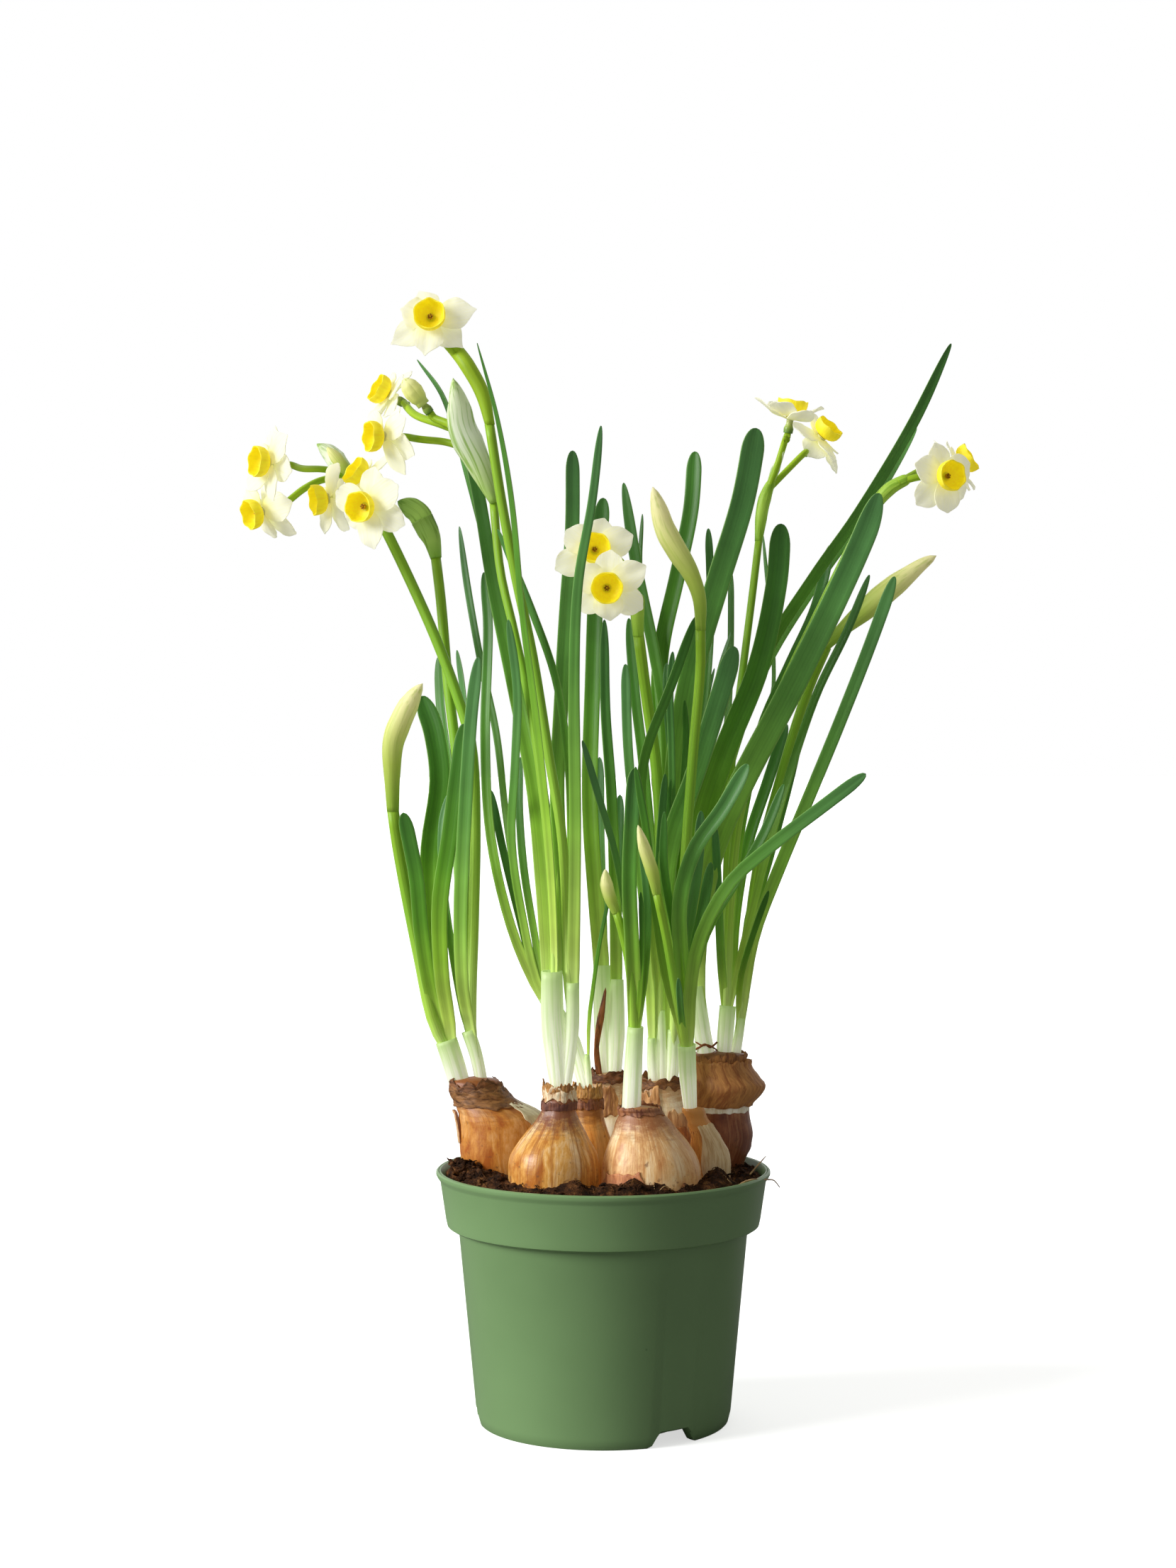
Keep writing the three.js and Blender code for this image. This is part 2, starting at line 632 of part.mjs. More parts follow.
        at: [[-40.3, 226], [-36.6, 207], [-30, 180], [-22.6, 154]],
      },
    ],
    stems: [],
  },
  6: {
    crown: { width: 9, thickness: 7, points: [seen(2, 123.4, 20), seen(2.2, 117, 20)] },
    sheaths: {
      a: { width: [6.2, 6.6, 5], thickness: 6, y: 20, at: [[-0.6, 163], [-0.2, 143], [0.8, 119]] },
      b: { width: [5, 6.6, 5], thickness: 6, y: 19, at: [[4.9, 158], [4.6, 140], [3.6, 119]] },
    },
    leaves: [
      {
        from: 'a', y: [18, 19], width: 6, turn: 5, taper: 8,
        at: [[0, 331.3], [-2.3, 305], [-3.8, 265], [-4.8, 222], [-2.4, 184], [-0.8, 165]],
      },
      {
        from: 'a', y: [27, 23], width: 4, turn: 30, taper: 10,
        at: [[-1.4, 238], [-1.2, 215], [-0.6, 190], [-0.2, 166]],
      },
      {
        from: 'b', y: [12, 17], width: [3.4, 5], turn: -12, taper: 16,
        at: [[0.4, 287.5], [0.8, 255], [3, 224], [4.2, 190], [4.7, 161]],
      },
      {
        from: 'b', y: [26, 22], width: 3.8, turn: 20, taper: 8,
        at: [[6, 224.5], [5.4, 204], [5, 180], [4.8, 161]],
      },
    ],
    stems: [],
  },
  7: {
    crown: { width: 12.4, thickness: 8, points: [seen(21.4, 122.6, 4), seen(21.2, 117, 4)] },
    sheaths: {
      a: { width: [3, 3.6, 4], thickness: 4.4, y: 3, at: [[17.4, 137], [17.6, 128], [18.4, 118]] },
      b: { width: [3.6, 4, 4.4], thickness: 4.6, y: 4, at: [[20.6, 147], [20.8, 134], [21, 118]] },
      c: { width: [4.4, 5, 5], thickness: 5, y: 4, at: [[25.2, 140], [25, 130], [24.2, 118]] },
    },
    leaves: [
      {
        from: 'a', y: [-2, 2], width: 3.8, turn: 20, taper: 9,
        at: [[8, 271.5], [9, 240], [13, 200], [16.4, 165], [17.4, 140]],
      },
      {
        from: 'a', y: [4, 4], width: 4, turn: 20, taper: 12,
        at: [[9.2, 288], [11.3, 262], [14.5, 235], [17.6, 195], [17.8, 140]],
      },
      {
        from: 'b', y: [12, 6], width: 4.4, turn: 15, taper: 20,
        at: [[7.3, 336.7], [12.3, 305], [18.3, 276], [22.4, 250], [23, 205], [20.8, 149]],
      },
      {
        from: 'b', y: [-9.5, -11, 1], width: 3.6, turn: -15, taper: 14,
        at: [[33.3, 288.5], [24.5, 264], [15.3, 239.5], [13.6, 222], [16.4, 190], [20, 149]],
      },
      {
        from: 'c', y: [-7, 1], width: 7.2, turn: 5, taper: 10,
        at: [[47.3, 277.8], [42, 260], [32.4, 230], [25, 210], [22, 188], [24.4, 143]],
      },
      {
        from: 'c', y: [5, 5], width: [8.8, 8.8, 7], turn: -5, taper: 9,
        at: [[55.1, 356.4], [50.2, 330], [41, 300], [32.3, 270], [26.6, 236], [24.4, 195], [25, 143]],
      },
      {
        from: 'c', y: [14, 8], width: 6, turn: 15, taper: 8,
        at: [[33, 348], [31.5, 327], [26.8, 304], [20.6, 274], [20.4, 235], [23.6, 190], [25.2, 143]],
      },
      {
        from: 'a', y: [6, 5], width: 3.4, turn: 0, taper: 9,
        at: [[18.6, 194], [18, 172], [17.4, 140]],
      },
      {
        from: 'c', y: [10, 7], width: 3.4, turn: 20, taper: 10,
        at: [[27, 245], [27, 225], [25.6, 190], [25.2, 143]],
      },
    ],
    stems: [
      {
        from: 'b', y: [-5, 0, 2], width: 4,
        at: [[12.7, 282], [15.5, 260], [19, 235], [20.6, 205], [20.4, 149]],
      },
      {
        from: 'c', y: [-14, -8, 2], width: 3.6,
        at: [[35, 284], [35, 270], [32.4, 240], [29.4, 200], [27, 168], [25.6, 143]],
      },
    ],
  },
  8: {
    crown: { width: 5.2, thickness: 5, points: [seen(31, 115, -12), seen(31.6, 109, -12)] },
    sheaths: {
      a: {
        width: [6.4, 6.2, 4.6],
        thickness: 5,
        y: [-18, -15, -12],
        at: [[30, 134.5], [30.4, 124], [31.4, 110.5]],
      },
    },
    leaves: [
      {
        from: 'a', y: [-40, -19], width: 2.8, turn: 20, taper: 14,
        at: [[11.6, 234.5], [15.7, 210], [17.9, 190], [22.2, 160], [28.4, 137]],
      },
      {
        from: 'a', y: [-25, -19], width: 3, turn: 20, taper: 14,
        at: [[22, 218.5], [21.9, 198], [26, 174], [29.2, 150], [30, 137]],
      },
      {
        from: 'a', y: [-30, -27, -19], width: 5.4, turn: 8, taper: 9,
        at: [[52, 235.5], [43, 219.5], [33, 205], [27.6, 186], [28.2, 164], [29.6, 137]],
      },
      {
        from: 'a', y: [-20, -18], width: 4, turn: -20, taper: 10,
        at: [[35.2, 218.7], [33.8, 197], [30.6, 174], [29.8, 155], [30, 137]],
      },
      {
        from: 'a', y: [-24, -19], width: 4, turn: 15, taper: 9,
        at: [[38.8, 200.2], [36, 184], [32.6, 167], [30.6, 150], [30.2, 137]],
      },
      {
        from: 'a', y: [-26, -28, -19], width: 4.6, turn: 5, taper: 9,
        at: [[94.5, 232], [80, 221], [60, 205.7], [45, 192], [34.5, 172], [31.4, 155], [30.6, 137]],
      },
      {
        from: 'a', y: [-14, -17], width: 3.6, turn: 15, taper: 12,
        at: [[65, 228.3], [58, 211], [49.5, 196], [38, 177], [32, 158], [30.8, 137]],
      },
      {
        from: 'a', y: [-33, -21], width: 2.4, turn: 10, taper: 9,
        at: [[27, 158.5], [27.8, 148], [29, 137]],
      },
    ],
    stems: [
      {
        from: 'a', y: [-34, -20], width: 3,
        at: [[19.3, 189], [22.5, 174], [26.3, 152], [29.2, 137]],
      },
    ],
  },
};

function buildSheath(sheath, grow = 0) {
  return limb({
    points: climb(sheath.at, sheath.y),
    width: reversed(sheath.width),
    thickness: sheath.thickness,
    sides: 6,
    steps: 2,
    grow,
  });
}

function buildCrown({ points, width, thickness }, grow = 0) {
  return limb({ points: reversed(points), width, thickness, sides: 6, steps: 1, grow });
}

// Blades stand one behind the other in their sheath, in the order of their depth
function rootPath(item, bunch) {
  const sheath = bunch.sheaths[item.from];
  const depthOf = (one) => along(one.y, 0.5);
  const mates = [...bunch.leaves, ...bunch.stems].filter((one) => one.from === item.from);
  mates.sort((one, other) => depthOf(one) - depthOf(other));
  const share = mates.length > 1 ? mates.indexOf(item) / (mates.length - 1) - 0.5 : 0;
  const offset = share * (sheath.thickness - 2 * ROOT_MARGIN);
  const path = climb(item.at, item.y);
  const foot = climb(sheath.at, sheath.y)[1];
  const mouth = climb(sheath.at, sheath.y)[2];
  foot.y += offset;
  path[0].y = mouth.y + offset;
  return [foot, ...path];
}

function stepsFor({ at }) {
  const height = at[0][1] - at[at.length - 1][1];
  return Math.max(LEAF_STEPS_LEAST, Math.round(height / LEAF_STEP_LENGTH));
}

function buildLeaf(leaf, bunch) {
  return limb({
    points: rootPath(leaf, bunch),
    width: reversed(leaf.width),
    thickness: LEAF_THICKNESS,
    sides: Math.max(...[leaf.width].flat()) < NARROW_LEAF ? 3 : 4,
    steps: stepsFor(leaf),
    turn: leaf.turn,
    channel: LEAF_CHANNEL,
    taper: leaf.taper,
    crowding: LEAF_TIP_CROWDING,
  });
}

function buildStem(stem, bunch) {
  return limb({ points: rootPath(stem, bunch), width: stem.width, sides: 5, steps: stepsFor(stem) });
}

function buildGrowth(bunch) {
  return fuse([
    buildCrown(bunch.crown),
    ...Object.values(bunch.sheaths).map((sheath) => buildSheath(sheath)),
    ...bunch.leaves.map((leaf) => buildLeaf(leaf, bunch)),
    ...bunch.stems.map((stem) => buildStem(stem, bunch)),
  ]);
}

// Room that a bulb leaves for its growth, and for that of its neighbours
function neckHole({ crown, sheaths }) {
  const feet = Object.values(sheaths).map((sheath) => buildSheath(sheath, CLEARANCE));
  return fuse([buildCrown(crown, CLEARANCE), ...feet]);
}

// Flowers: place of the cup's foot as seen, depth, the way it faces, and how far its petals sweep forward.
// Each petal has its angle from the flower's own right, its share of the full length and, where it differs,
// its extra sweep.

const flowers = {
  1: {
    at: [-62, 396], y: -31, faces: [-0.08, -1, 0.2], sweep: 8,
    petals: [[11, 1.3], [-42, 1.18], [-97, 1.13], [211, 1.32], [162, 0.92], [114, 0.92]],
  },
  2: {
    at: [-77.8, 368.8], y: 6, faces: [-0.82, -0.35, 0.45], sweep: 4,
    petals: [[20, 1], [80, 0.95], [140, 0.95], [200, 0.95], [260, 1.05, 9], [320, 1.05]],
  },
  3: { at: [-66.8, 367.6], y: -11, faces: [-0.62, -0.2, 0.78], closed: true },
  4: {
    at: [-79.9, 353.4], y: -13, faces: [-0.88, -0.46, -0.03], sweep: -20,
    petals: [[35, 0.9], [82, 0.95], [140, 1.05, 32], [200, 0.9], [280, 1.2], [325, 1.15]],
  },
  5: {
    at: [-121, 344], y: -10, faces: [-0.84, -0.54, 0.04], sweep: 2,
    petals: [[43, 1.1], [103, 1.15], [163, 1], [223, 1.15, 24], [283, 1.15], [343, 1]],
  },
  6: {
    at: [-123.6, 326.2], y: 3, faces: [-0.8, -0.52, -0.28], sweep: -16,
    petals: [[5, 1.15], [65, 0.95], [125, 0.9, 29], [185, 0.9], [245, 1], [305, 1.15]],
  },
  7: {
    at: [-86.6, 338.8], y: 2, faces: [-0.72, -0.4, 0.56], sweep: 2,
    petals: [[42, 1.2], [94, 1], [150, 1], [212, 0.9], [272, 0.9], [342, 1]],
  },
  8: {
    at: [-99.8, 331], y: 0.5, faces: [-0.92, -0.36, -0.14], sweep: -10,
    petals: [[72, 1.05], [12, 1], [-58, 1.2], [-115, 1.15, 32], [188, 0.9], [130, 0.9]],
  },
  9: {
    at: [-85.6, 328.2], y: -15, faces: [-0.5, -0.85, -0.1], sweep: 4,
    petals: [[25, 1.3], [-27, 1.28], [-83, 1.24], [-148, 0.95], [155, 1.1], [76, 1.15]],
  },
  10: {
    at: [-3.1, 312.3], y: -22, faces: [0.03, -0.97, 0.2], sweep: 5,
    petals: [[24, 1.2], [-38, 0.95], [-98, 0.95], [204, 1.22], [143, 1.02], [74, 1.05]],
  },
  11: {
    at: [1.3, 298.8], y: -31, faces: [0, -1, -0.04], sweep: 5,
    petals: [[30, 1.26], [-30, 1.16], [-84, 0.92], [-145, 1.02], [150, 1], [84, 1.08]],
  },
  12: {
    at: [67.6, 361.5], y: 3, faces: [0.16, -0.08, 0.98], sweep: 13,
    petals: [[0, 0.95], [60, 1], [120, 1], [180, 1.14, 2], [240, 0.95, -10], [300, 0.95, -10]],
  },
  13: {
    at: [79, 353.8], y: 20, faces: [0.62, -0.35, 0.7], sweep: -12,
    petals: [[150, 1.12], [208, 1.05], [255, 1], [298, 1.15], [350, 1], [84, 1, 46]],
  },
  14: {
    at: [123.2, 339], y: -6, faces: [0.48, -0.87, 0.02], sweep: 4,
    petals: [[25, 0.98], [-36, 0.98], [-82, 1.06], [-134, 1.15], [162, 1.08], [104, 1.02]],
  },
  15: {
    at: [128.4, 343.8], y: 12, faces: [0.82, -0.2, 0.5], sweep: 2,
    petals: [[20, 0.95], [80, 1.05], [140, 0.95], [200, 0.95], [260, 0.95], [320, 1.05]],
  },
};

function flowerAxes({ at, y, faces }) {
  const foot = seen(at[0], at[1], y);
  const axis = new THREE.Vector3(...faces).normalize();
  const helper = Math.abs(axis.z) > 0.9 ? new THREE.Vector3(1, 0, 0) : new THREE.Vector3(0, 0, 1).cross(axis);
  const right = helper.addScaledVector(axis, -helper.dot(axis)).normalize();
  const up = axis.clone().cross(right);
  return { foot, axis, right, up };
}

// A point on the flower's axis, behind the foot of its tube
function flowerBack(flower, distance) {
  const { foot, axis } = flowerAxes(flower);
  return foot.addScaledVector(axis, -(TUBE_LENGTH + distance));
}

function buildPetals(flower, index) {
  const { foot, axis, right, up } = flowerAxes(flower);
  const dice = makeDice(PETAL_SEED + index * PETAL_SEED_STEP);
  const from = (distance) => foot.clone().addScaledVector(axis, distance);
  const tube = limb({
    points: [from(-TUBE_LENGTH), from(-2 * HUB_DEPTH), from(-HUB_DEPTH), from(-CUP_SEAT)],
    width: [TUBE_RADIUS * 2, TUBE_RADIUS * 2, HUB_RADIUS * 2, HUB_RADIUS * 2],
    sides: 6,
    steps: 3,
    across: right,
  });
  if (flower.closed) {
    const bud = limb({
      points: [from(-TUBE_LENGTH / 2), from(0), from(CLOSED_MIDDLE), from(CLOSED_LENGTH)],
      width: CLOSED_WIDTHS,
      sides: 6,
      steps: 5,
      taper: CLOSED_MIDDLE,
      across: right,
    });
    return fuse([tube, bud]);
  }
  const petals = flower.petals.map(([angle, length, lean = 0], i) => {
    const turn = THREE.MathUtils.degToRad(angle);
    const outward = right.clone().multiplyScalar(Math.cos(turn)).addScaledVector(up, Math.sin(turn));
    const isOuter = i % 2 === 1;
    const level = -CUP_SEAT - PETAL_THICKNESS / 2 - (isOuter ? PETAL_LAYER_STEP : 0);
    const sweep = THREE.MathUtils.degToRad(flower.sweep + lean - (isOuter ? PETAL_LAYER_SWEEP : 0));
    const reach = PETAL_LENGTH * length;
    const curl = PETAL_CURL * (2 * dice() - 1);
    const at = (share, lift) => {
      const spot = from(level + reach * (share * Math.sin(sweep) + lift));
      return spot.addScaledVector(outward, reach * share * Math.cos(sweep));
    };
    return limb({
      points: [at(PETAL_FOOT, 0), at(0.5, 0), at(1, curl)],
      width: PETAL_WIDTHS,
      thickness: PETAL_THICKNESS,
      sides: 3,
      steps: 3,
      channel: PETAL_ARCH,
      taper: PETAL_TIP_LENGTH,
      across: axis,
    });
  });
  return fuse([tube, ...petals]);
}

function buildCup(flower) {
  const { foot, axis } = flowerAxes(flower);
  const turned = turnUpright([
    [0, 0],
    [CUP_RADIUS * CUP_FOOT_SHARE, 0],
    [CUP_RADIUS * CUP_BELLY_SHARE, CUP_DEPTH * CUP_BELLY_HEIGHT],
    [CUP_RADIUS, CUP_DEPTH],
    [CUP_RADIUS - CUP_WALL, CUP_DEPTH],
    [CUP_RADIUS * CUP_THROAT_SHARE, CUP_WALL * 1.5],
    [0, CUP_WALL],
  ], CUP_LOBES * 2);
  const position = turned.attributes.position;
  for (let i = 0; i < position.count; i += 1) {
    const x = position.getX(i);
    const y = position.getY(i);
    const relief = CUP_LOBE_RELIEF * (position.getZ(i) / CUP_DEPTH);
    const lobe = 1 + relief * Math.cos(CUP_LOBES * Math.atan2(x, y));
    position.setX(i, x * lobe);
    position.setY(i, y * lobe);
  }
  const turn = new THREE.Quaternion().setFromUnitVectors(new THREE.Vector3(0, 0, 1), axis);
  turned.applyQuaternion(turn);
  turned.translate(foot.x, foot.y, foot.z);
  return toSolid(turned);
}

// Heads: what sits on the end of each flower stem. Stalks run from a hub to the back of each open flower.

const heads = {
  1: {
    limbs: [
      {
        width: [3.4, 5, 5.4, 5, 3.6], y: [-24, -22.5, -20], flower: 1,
        at: [[-41, 358.6], [-43.6, 369], [-48.6, 378.4], [-53, 384.4]],
      },
    ],
  },
  2: {
    limbs: [
      {
        width: [3.2, 8, 11, 9, 2], thickness: 6, y: [-13, -14, -16], taper: 5,
        at: [[-39.6, 330.7], [-44.6, 343], [-50.6, 356], [-52.2, 366], [-54.1, 374.4]],
      },
      {
        width: 2.6, y: [-14, -10, -6], flower: 4,
        at: [[-47, 348], [-56, 351.2], [-66, 352.4]],
      },
      {
        width: 2.8, y: [-14, -4, 6], flower: 2,
        at: [[-49, 354], [-58, 357.6], [-67.4, 361], [-71.6, 365.4]],
      },
      {
        width: 2.8, y: [-15, -12], flower: 3,
        at: [[-50, 352], [-55, 357.4]],
      },
    ],
  },
  3: {
    limbs: [
      {
        width: [3.9, 5, 4], y: 15, taper: 3,
        at: [[-87.4, 335.3], [-90, 339], [-91.6, 342]],
      },
      {
        width: 2.5, y: [15, 14, 4], flower: 5,
        at: [[-89.6, 338.6], [-98, 341.2], [-108, 341.8]],
      },
      {
        width: 2.6, y: [15, 14, 10], flower: 6,
        at: [[-89.6, 338], [-99, 338.2], [-107, 335]],
      },
      {
        width: 2.4, y: [15, 12], flower: 7,
        at: [[-89, 338.4], [-84.6, 337]],
      },
      {
        width: 2.4, y: [15, 10], flower: 8,
        at: [[-89.6, 338], [-92, 335.4]],
      },
      {
        width: 2.4, y: [16, 16, 4], flower: 9,
        at: [[-91.4, 339], [-92, 330.6], [-85, 326.4]],
      },
      {
        width: [2.4, 5.4, 7.6, 6, 2], thickness: 4.6, y: [15, 17, 18], taper: 4,
        at: [[-90.6, 340], [-95, 343.8], [-98.6, 347.6], [-103, 350.6]],
      },
    ],
  },
  4: {
    limbs: [
      {
        width: [3.8, 4.4, 8.6, 8.8, 7, 4], thickness: 4.4, y: 18, taper: 5,
        at: [[-60.4, 310.7], [-62.2, 318], [-65, 325], [-69, 328.5], [-73.5, 330]],
      },
    ],
  },
  5: {
    limbs: [
      {
        width: [4.4, 5.4, 7, 8.4, 7.6, 3], y: [-1, -4], taper: 6,
        at: [[-75.7, 219.7], [-76, 232], [-75.6, 243], [-72.4, 252], [-68.2, 260], [-65, 264.5]],
      },
    ],
  },
  6: {
    limbs: [
      {
        width: [4, 5, 4.6], y: [-5.2, -6, -8], taper: 3,
        at: [[12.6, 282.8], [12.3, 289], [12.8, 297]],
      },
      {
        width: 2.5, y: [-7, -12, -19], flower: 11,
        at: [[12.6, 293], [9.6, 297.4], [6.4, 298.6]],
      },
      {
        width: 2.5, y: [-7, -8, -10], flower: 10,
        at: [[12.6, 293], [9.4, 304], [2.6, 311.4]],
      },
    ],
  },
  7: {
    limbs: [
      {
        width: [3.6, 4.6, 5.6, 7.4, 7.8, 6.4, 2.6], y: [-14, -15], taper: 6,
        at: [[35, 284.8], [34.6, 295], [31.5, 304], [26.4, 312.4], [22.3, 320], [19.6, 329], [17.8, 335.3]],
      },
    ],
  },
  8: {
    limbs: [
      {
        width: [2.8, 4.4, 4.8, 3], y: 13, taper: 2,
        at: [[56, 316.8], [57.4, 328], [59.4, 334.6], [61.4, 338]],
      },
      {
        width: 2.4, y: [13, 12, 10], flower: 12,
        at: [[58.4, 332], [62.6, 343], [65.8, 353]],
      },
      {
        width: 2.4, y: [13, 14, 16], flower: 13,
        at: [[59.2, 334], [65, 340], [72.4, 347.4]],
      },
    ],
  },
  9: {
    limbs: [
      {
        width: [3.4, 4.6, 5, 4], y: [2, 2, 1], taper: 2,
        at: [[92.9, 321.2], [97.6, 328.6], [103.4, 334.8], [110.4, 338.6]],
      },
      {
        width: 2.6, y: [1, 1, 3], flower: 14,
        at: [[106.4, 336.8], [112.6, 338.6], [118.6, 339]],
      },
      {
        width: 2.4, y: [1, 6, 9], flower: 15,
        at: [[106.4, 336.8], [113, 340.6], [118, 342.6]],
      },
    ],
  },
  10: {
    limbs: [
      {
        width: [3.8, 5, 7.2, 8.6, 8, 5.4, 2.6], y: [8, 6], taper: 5,
        at: [
          [80.8, 278.8], [88, 285.6], [95, 291.5], [102, 297.5], [109, 303], [115, 307.6], [119.9, 310.5],
        ],
      },
    ],
  },
  11: {
    limbs: [
      {
        width: [3, 4.4, 4.6, 2], y: [-30, -31], taper: 4,
        at: [[4.3, 183], [2.4, 187.6], [1.2, 192], [0.7, 197.7]],
      },
    ],
  },
  12: {
    limbs: [
      {
        width: [3, 4.6, 4.4, 2], y: [-34, -38], taper: 7,
        at: [[19.1, 189.6], [18, 195.4], [14.8, 205.4], [12.5, 213.5]],
      },
    ],
  },
};

function buildHead({ limbs }) {
  return fuse(limbs.map(({ width, thickness = 0, at, y, taper = 0, flower }) => {
    const points = at.map(([x, z], i) => seen(x, z, along(y, i / (at.length - 1))));
    if (flower) {
      const back = flowers[flower];
      points.push(flowerBack(back, STALK_APPROACH), flowerBack(back, STALK_GAP));
    }
    return limb({ points, width, thickness, taper, sides: flower ? 5 : 6, steps: flower ? 4 : at.length });
  }));
}

// Assembly

const colours = {
  pot: { color: '#5f8a52', roughness: 0.45 },
  soil: { color: '#3a2617', roughness: 0.95 },
  bulb: { color: '#c08a4c', roughness: 0.6 },
  darkBulb: { color: '#7d4a28', roughness: 0.65 },
  leaf: { color: '#5f9a45', roughness: 0.55 },
  head: { color: '#a9bf5e', roughness: 0.5 },
  petal: { color: '#f3f1d8', roughness: 0.6 },
  cup: { color: '#f4cc12', roughness: 0.5 },
};

const group = new THREE.Group();

function place(name, solid, colour) {
  const material = new THREE.MeshStandardMaterial({ ...colours[colour], metalness: 0 });
  const mesh = new THREE.Mesh(toGeometry(solid), material);
  mesh.name = name;
  group.add(mesh);
}

place('pot', buildPot(), 'pot');

let soil = buildSoil();
for (const bulb of Object.values(bulbs)) {
  soil = soil.subtract(buildBulb(bulb, BULB_CLEARANCE));
}
place('soil', largest(soil), 'soil');

for (const [number, bulb] of Object.entries(bulbs)) {
  const solid = buildBulb(bulb).subtract(neckHole(growth[number]));
  place(`bulb_${number}`, largest(solid), number === '4' ? 'darkBulb' : 'bulb');
}

for (const [number, bunch] of Object.entries(growth)) {
  place(`leaves_${number}`, buildGrowth(bunch), 'leaf');
}

for (const [number, head] of Object.entries(heads)) {
  place(`head_${number}`, buildHead(head), 'head');
}

for (const [number, flower] of Object.entries(flowers)) {
  place(`petals_${number}`, buildPetals(flower, Number(number)), 'petal');
  if (!flower.closed) {
    place(`cup_${number}`, buildCup(flower), 'cup');
  }
}

export default group;
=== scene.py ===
import math
import random
from bisect import bisect_right
from itertools import accumulate, groupby

import bmesh
import bpy
from mathutils import Euler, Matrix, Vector, noise
from mathutils.geometry import interpolate_bezier


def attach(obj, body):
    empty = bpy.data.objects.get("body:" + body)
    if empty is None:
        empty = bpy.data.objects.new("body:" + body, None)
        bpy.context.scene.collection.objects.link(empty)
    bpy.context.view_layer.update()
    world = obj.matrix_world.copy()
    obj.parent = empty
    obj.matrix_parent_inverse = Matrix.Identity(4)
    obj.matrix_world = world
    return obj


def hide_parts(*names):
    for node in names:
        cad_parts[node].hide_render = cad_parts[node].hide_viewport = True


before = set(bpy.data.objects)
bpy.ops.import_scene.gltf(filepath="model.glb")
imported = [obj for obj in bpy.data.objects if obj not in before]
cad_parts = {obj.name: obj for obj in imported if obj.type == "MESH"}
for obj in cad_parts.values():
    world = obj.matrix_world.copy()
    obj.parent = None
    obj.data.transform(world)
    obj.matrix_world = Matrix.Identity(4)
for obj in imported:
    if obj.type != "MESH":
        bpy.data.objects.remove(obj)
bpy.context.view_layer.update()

# Nursery pot
# A thin pot injection moulded in polypropylene, with a deep collar, a flat lip and a foot ring that is
# notched for drainage. It stands on its middle pad and on that ring. Sizes are in millimetres.

MM = 0.001
SEAM = 0.002
RIM_RADIUS = 60
POT_HEIGHT = 90
LIP_WIDTH = 1.9
LIP_HEIGHT = 3.2
COLLAR_TOP_RADIUS = 58.6
COLLAR_FOOT_RADIUS = 56.5
COLLAR_FOOT_HEIGHT = 72.8
BODY_TOP_RADIUS = 51.9
BODY_TOP_HEIGHT = 68.7
BODY_FOOT_RADIUS = 45.8
FOOT_HEIGHT = 4
FOOT_RADIUS = 44.9
FOOT_RING_WIDTH = 3
POT_WALL = 1.2
PAD_RADIUS = 30
PAD_THICKNESS = 2
PAD_SLOPE = 1.2
POT_SEGMENTS = 180
NOTCH_COUNT = 3
NOTCH_FIRST_ANGLE = -57
NOTCH_TOP_HALF = 7.5
NOTCH_FOOT_HALF = 11.6
NOTCH_HEIGHT = 5.3
SHELF_RISE = 1.2


def colour(sheet_value):
    """The linear colour of an sRGB value such as #5F8A50."""
    parts = [int(sheet_value[i:i + 2], 16) / 255 for i in (1, 3, 5)]
    linear = [part / 12.92 if part <= 0.04045 else ((part + 0.055) / 1.055) ** 2.4 for part in parts]
    return (*linear, 1)


def add_node(tree, kind, settings):
    """Adds a node and gives its outputs. Each setting goes by its name or its socket's number, and is a
    value, an sRGB colour, or the output that feeds that socket."""
    node = tree.nodes.new("ShaderNode" + kind)
    for name, value in settings.items():
        if name == "stops":
            ramp = node.color_ramp.elements
            while len(ramp) < len(value):
                ramp.new(1)
            for element, (place, shade) in zip(ramp, value):
                element.position = place
                element.color = colour(shade) if isinstance(shade, str) else (shade, shade, shade, 1)
        elif isinstance(value, bpy.types.NodeSocket):
            tree.links.new(value, node.inputs[name])
        elif isinstance(name, int) or name in node.inputs:
            node.inputs[name].default_value = colour(value) if isinstance(value, str) else value
        else:
            setattr(node, name, value)
    return node.outputs


def new_material(name, **everywhere):
    """A material with its tree, and its shader with what is the same all over the surface."""
    material = bpy.data.materials.new(name)
    material.use_nodes = True
    tree = material.node_tree
    shader = tree.nodes["Principled BSDF"]
    for socket, value in everywhere.items():
        value = colour(value) if isinstance(value, str) else value
        shader.inputs[socket.replace("_", " ")].default_value = value
    return material, tree, shader


def feed(tree, shader, **sources):
    """Links what changes over the surface to the shader's sockets."""
    for socket, source in sources.items():
        tree.links.new(source, shader.inputs[socket.replace("_", " ")])


def close_seams(bm):
    """Joins a mesh at its seams and poles, and turns its faces outwards."""
    bmesh.ops.remove_doubles(bm, verts=bm.verts[:], dist=SEAM * MM)
    bmesh.ops.recalc_face_normals(bm, faces=bm.faces[:])


def finish_piece(name, bm, materials, replaced=(), sharp=180):
    """Makes a smooth piece of the bmesh, with its place in its mesh, riding on the plant's one body."""
    close_seams(bm)
    for face in bm.faces:
        face.smooth = True
    mesh = bpy.data.meshes.new(name)
    bm.to_mesh(mesh)
    bm.free()
    if sharp < 180:
        mesh.set_sharp_from_angle(angle=math.radians(sharp))
    for material in materials:
        mesh.materials.append(material)
    piece = bpy.data.objects.new(name, mesh)
    bpy.context.scene.collection.objects.link(piece)
    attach(piece, "root")
    if replaced:
        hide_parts(*replaced)
    return piece


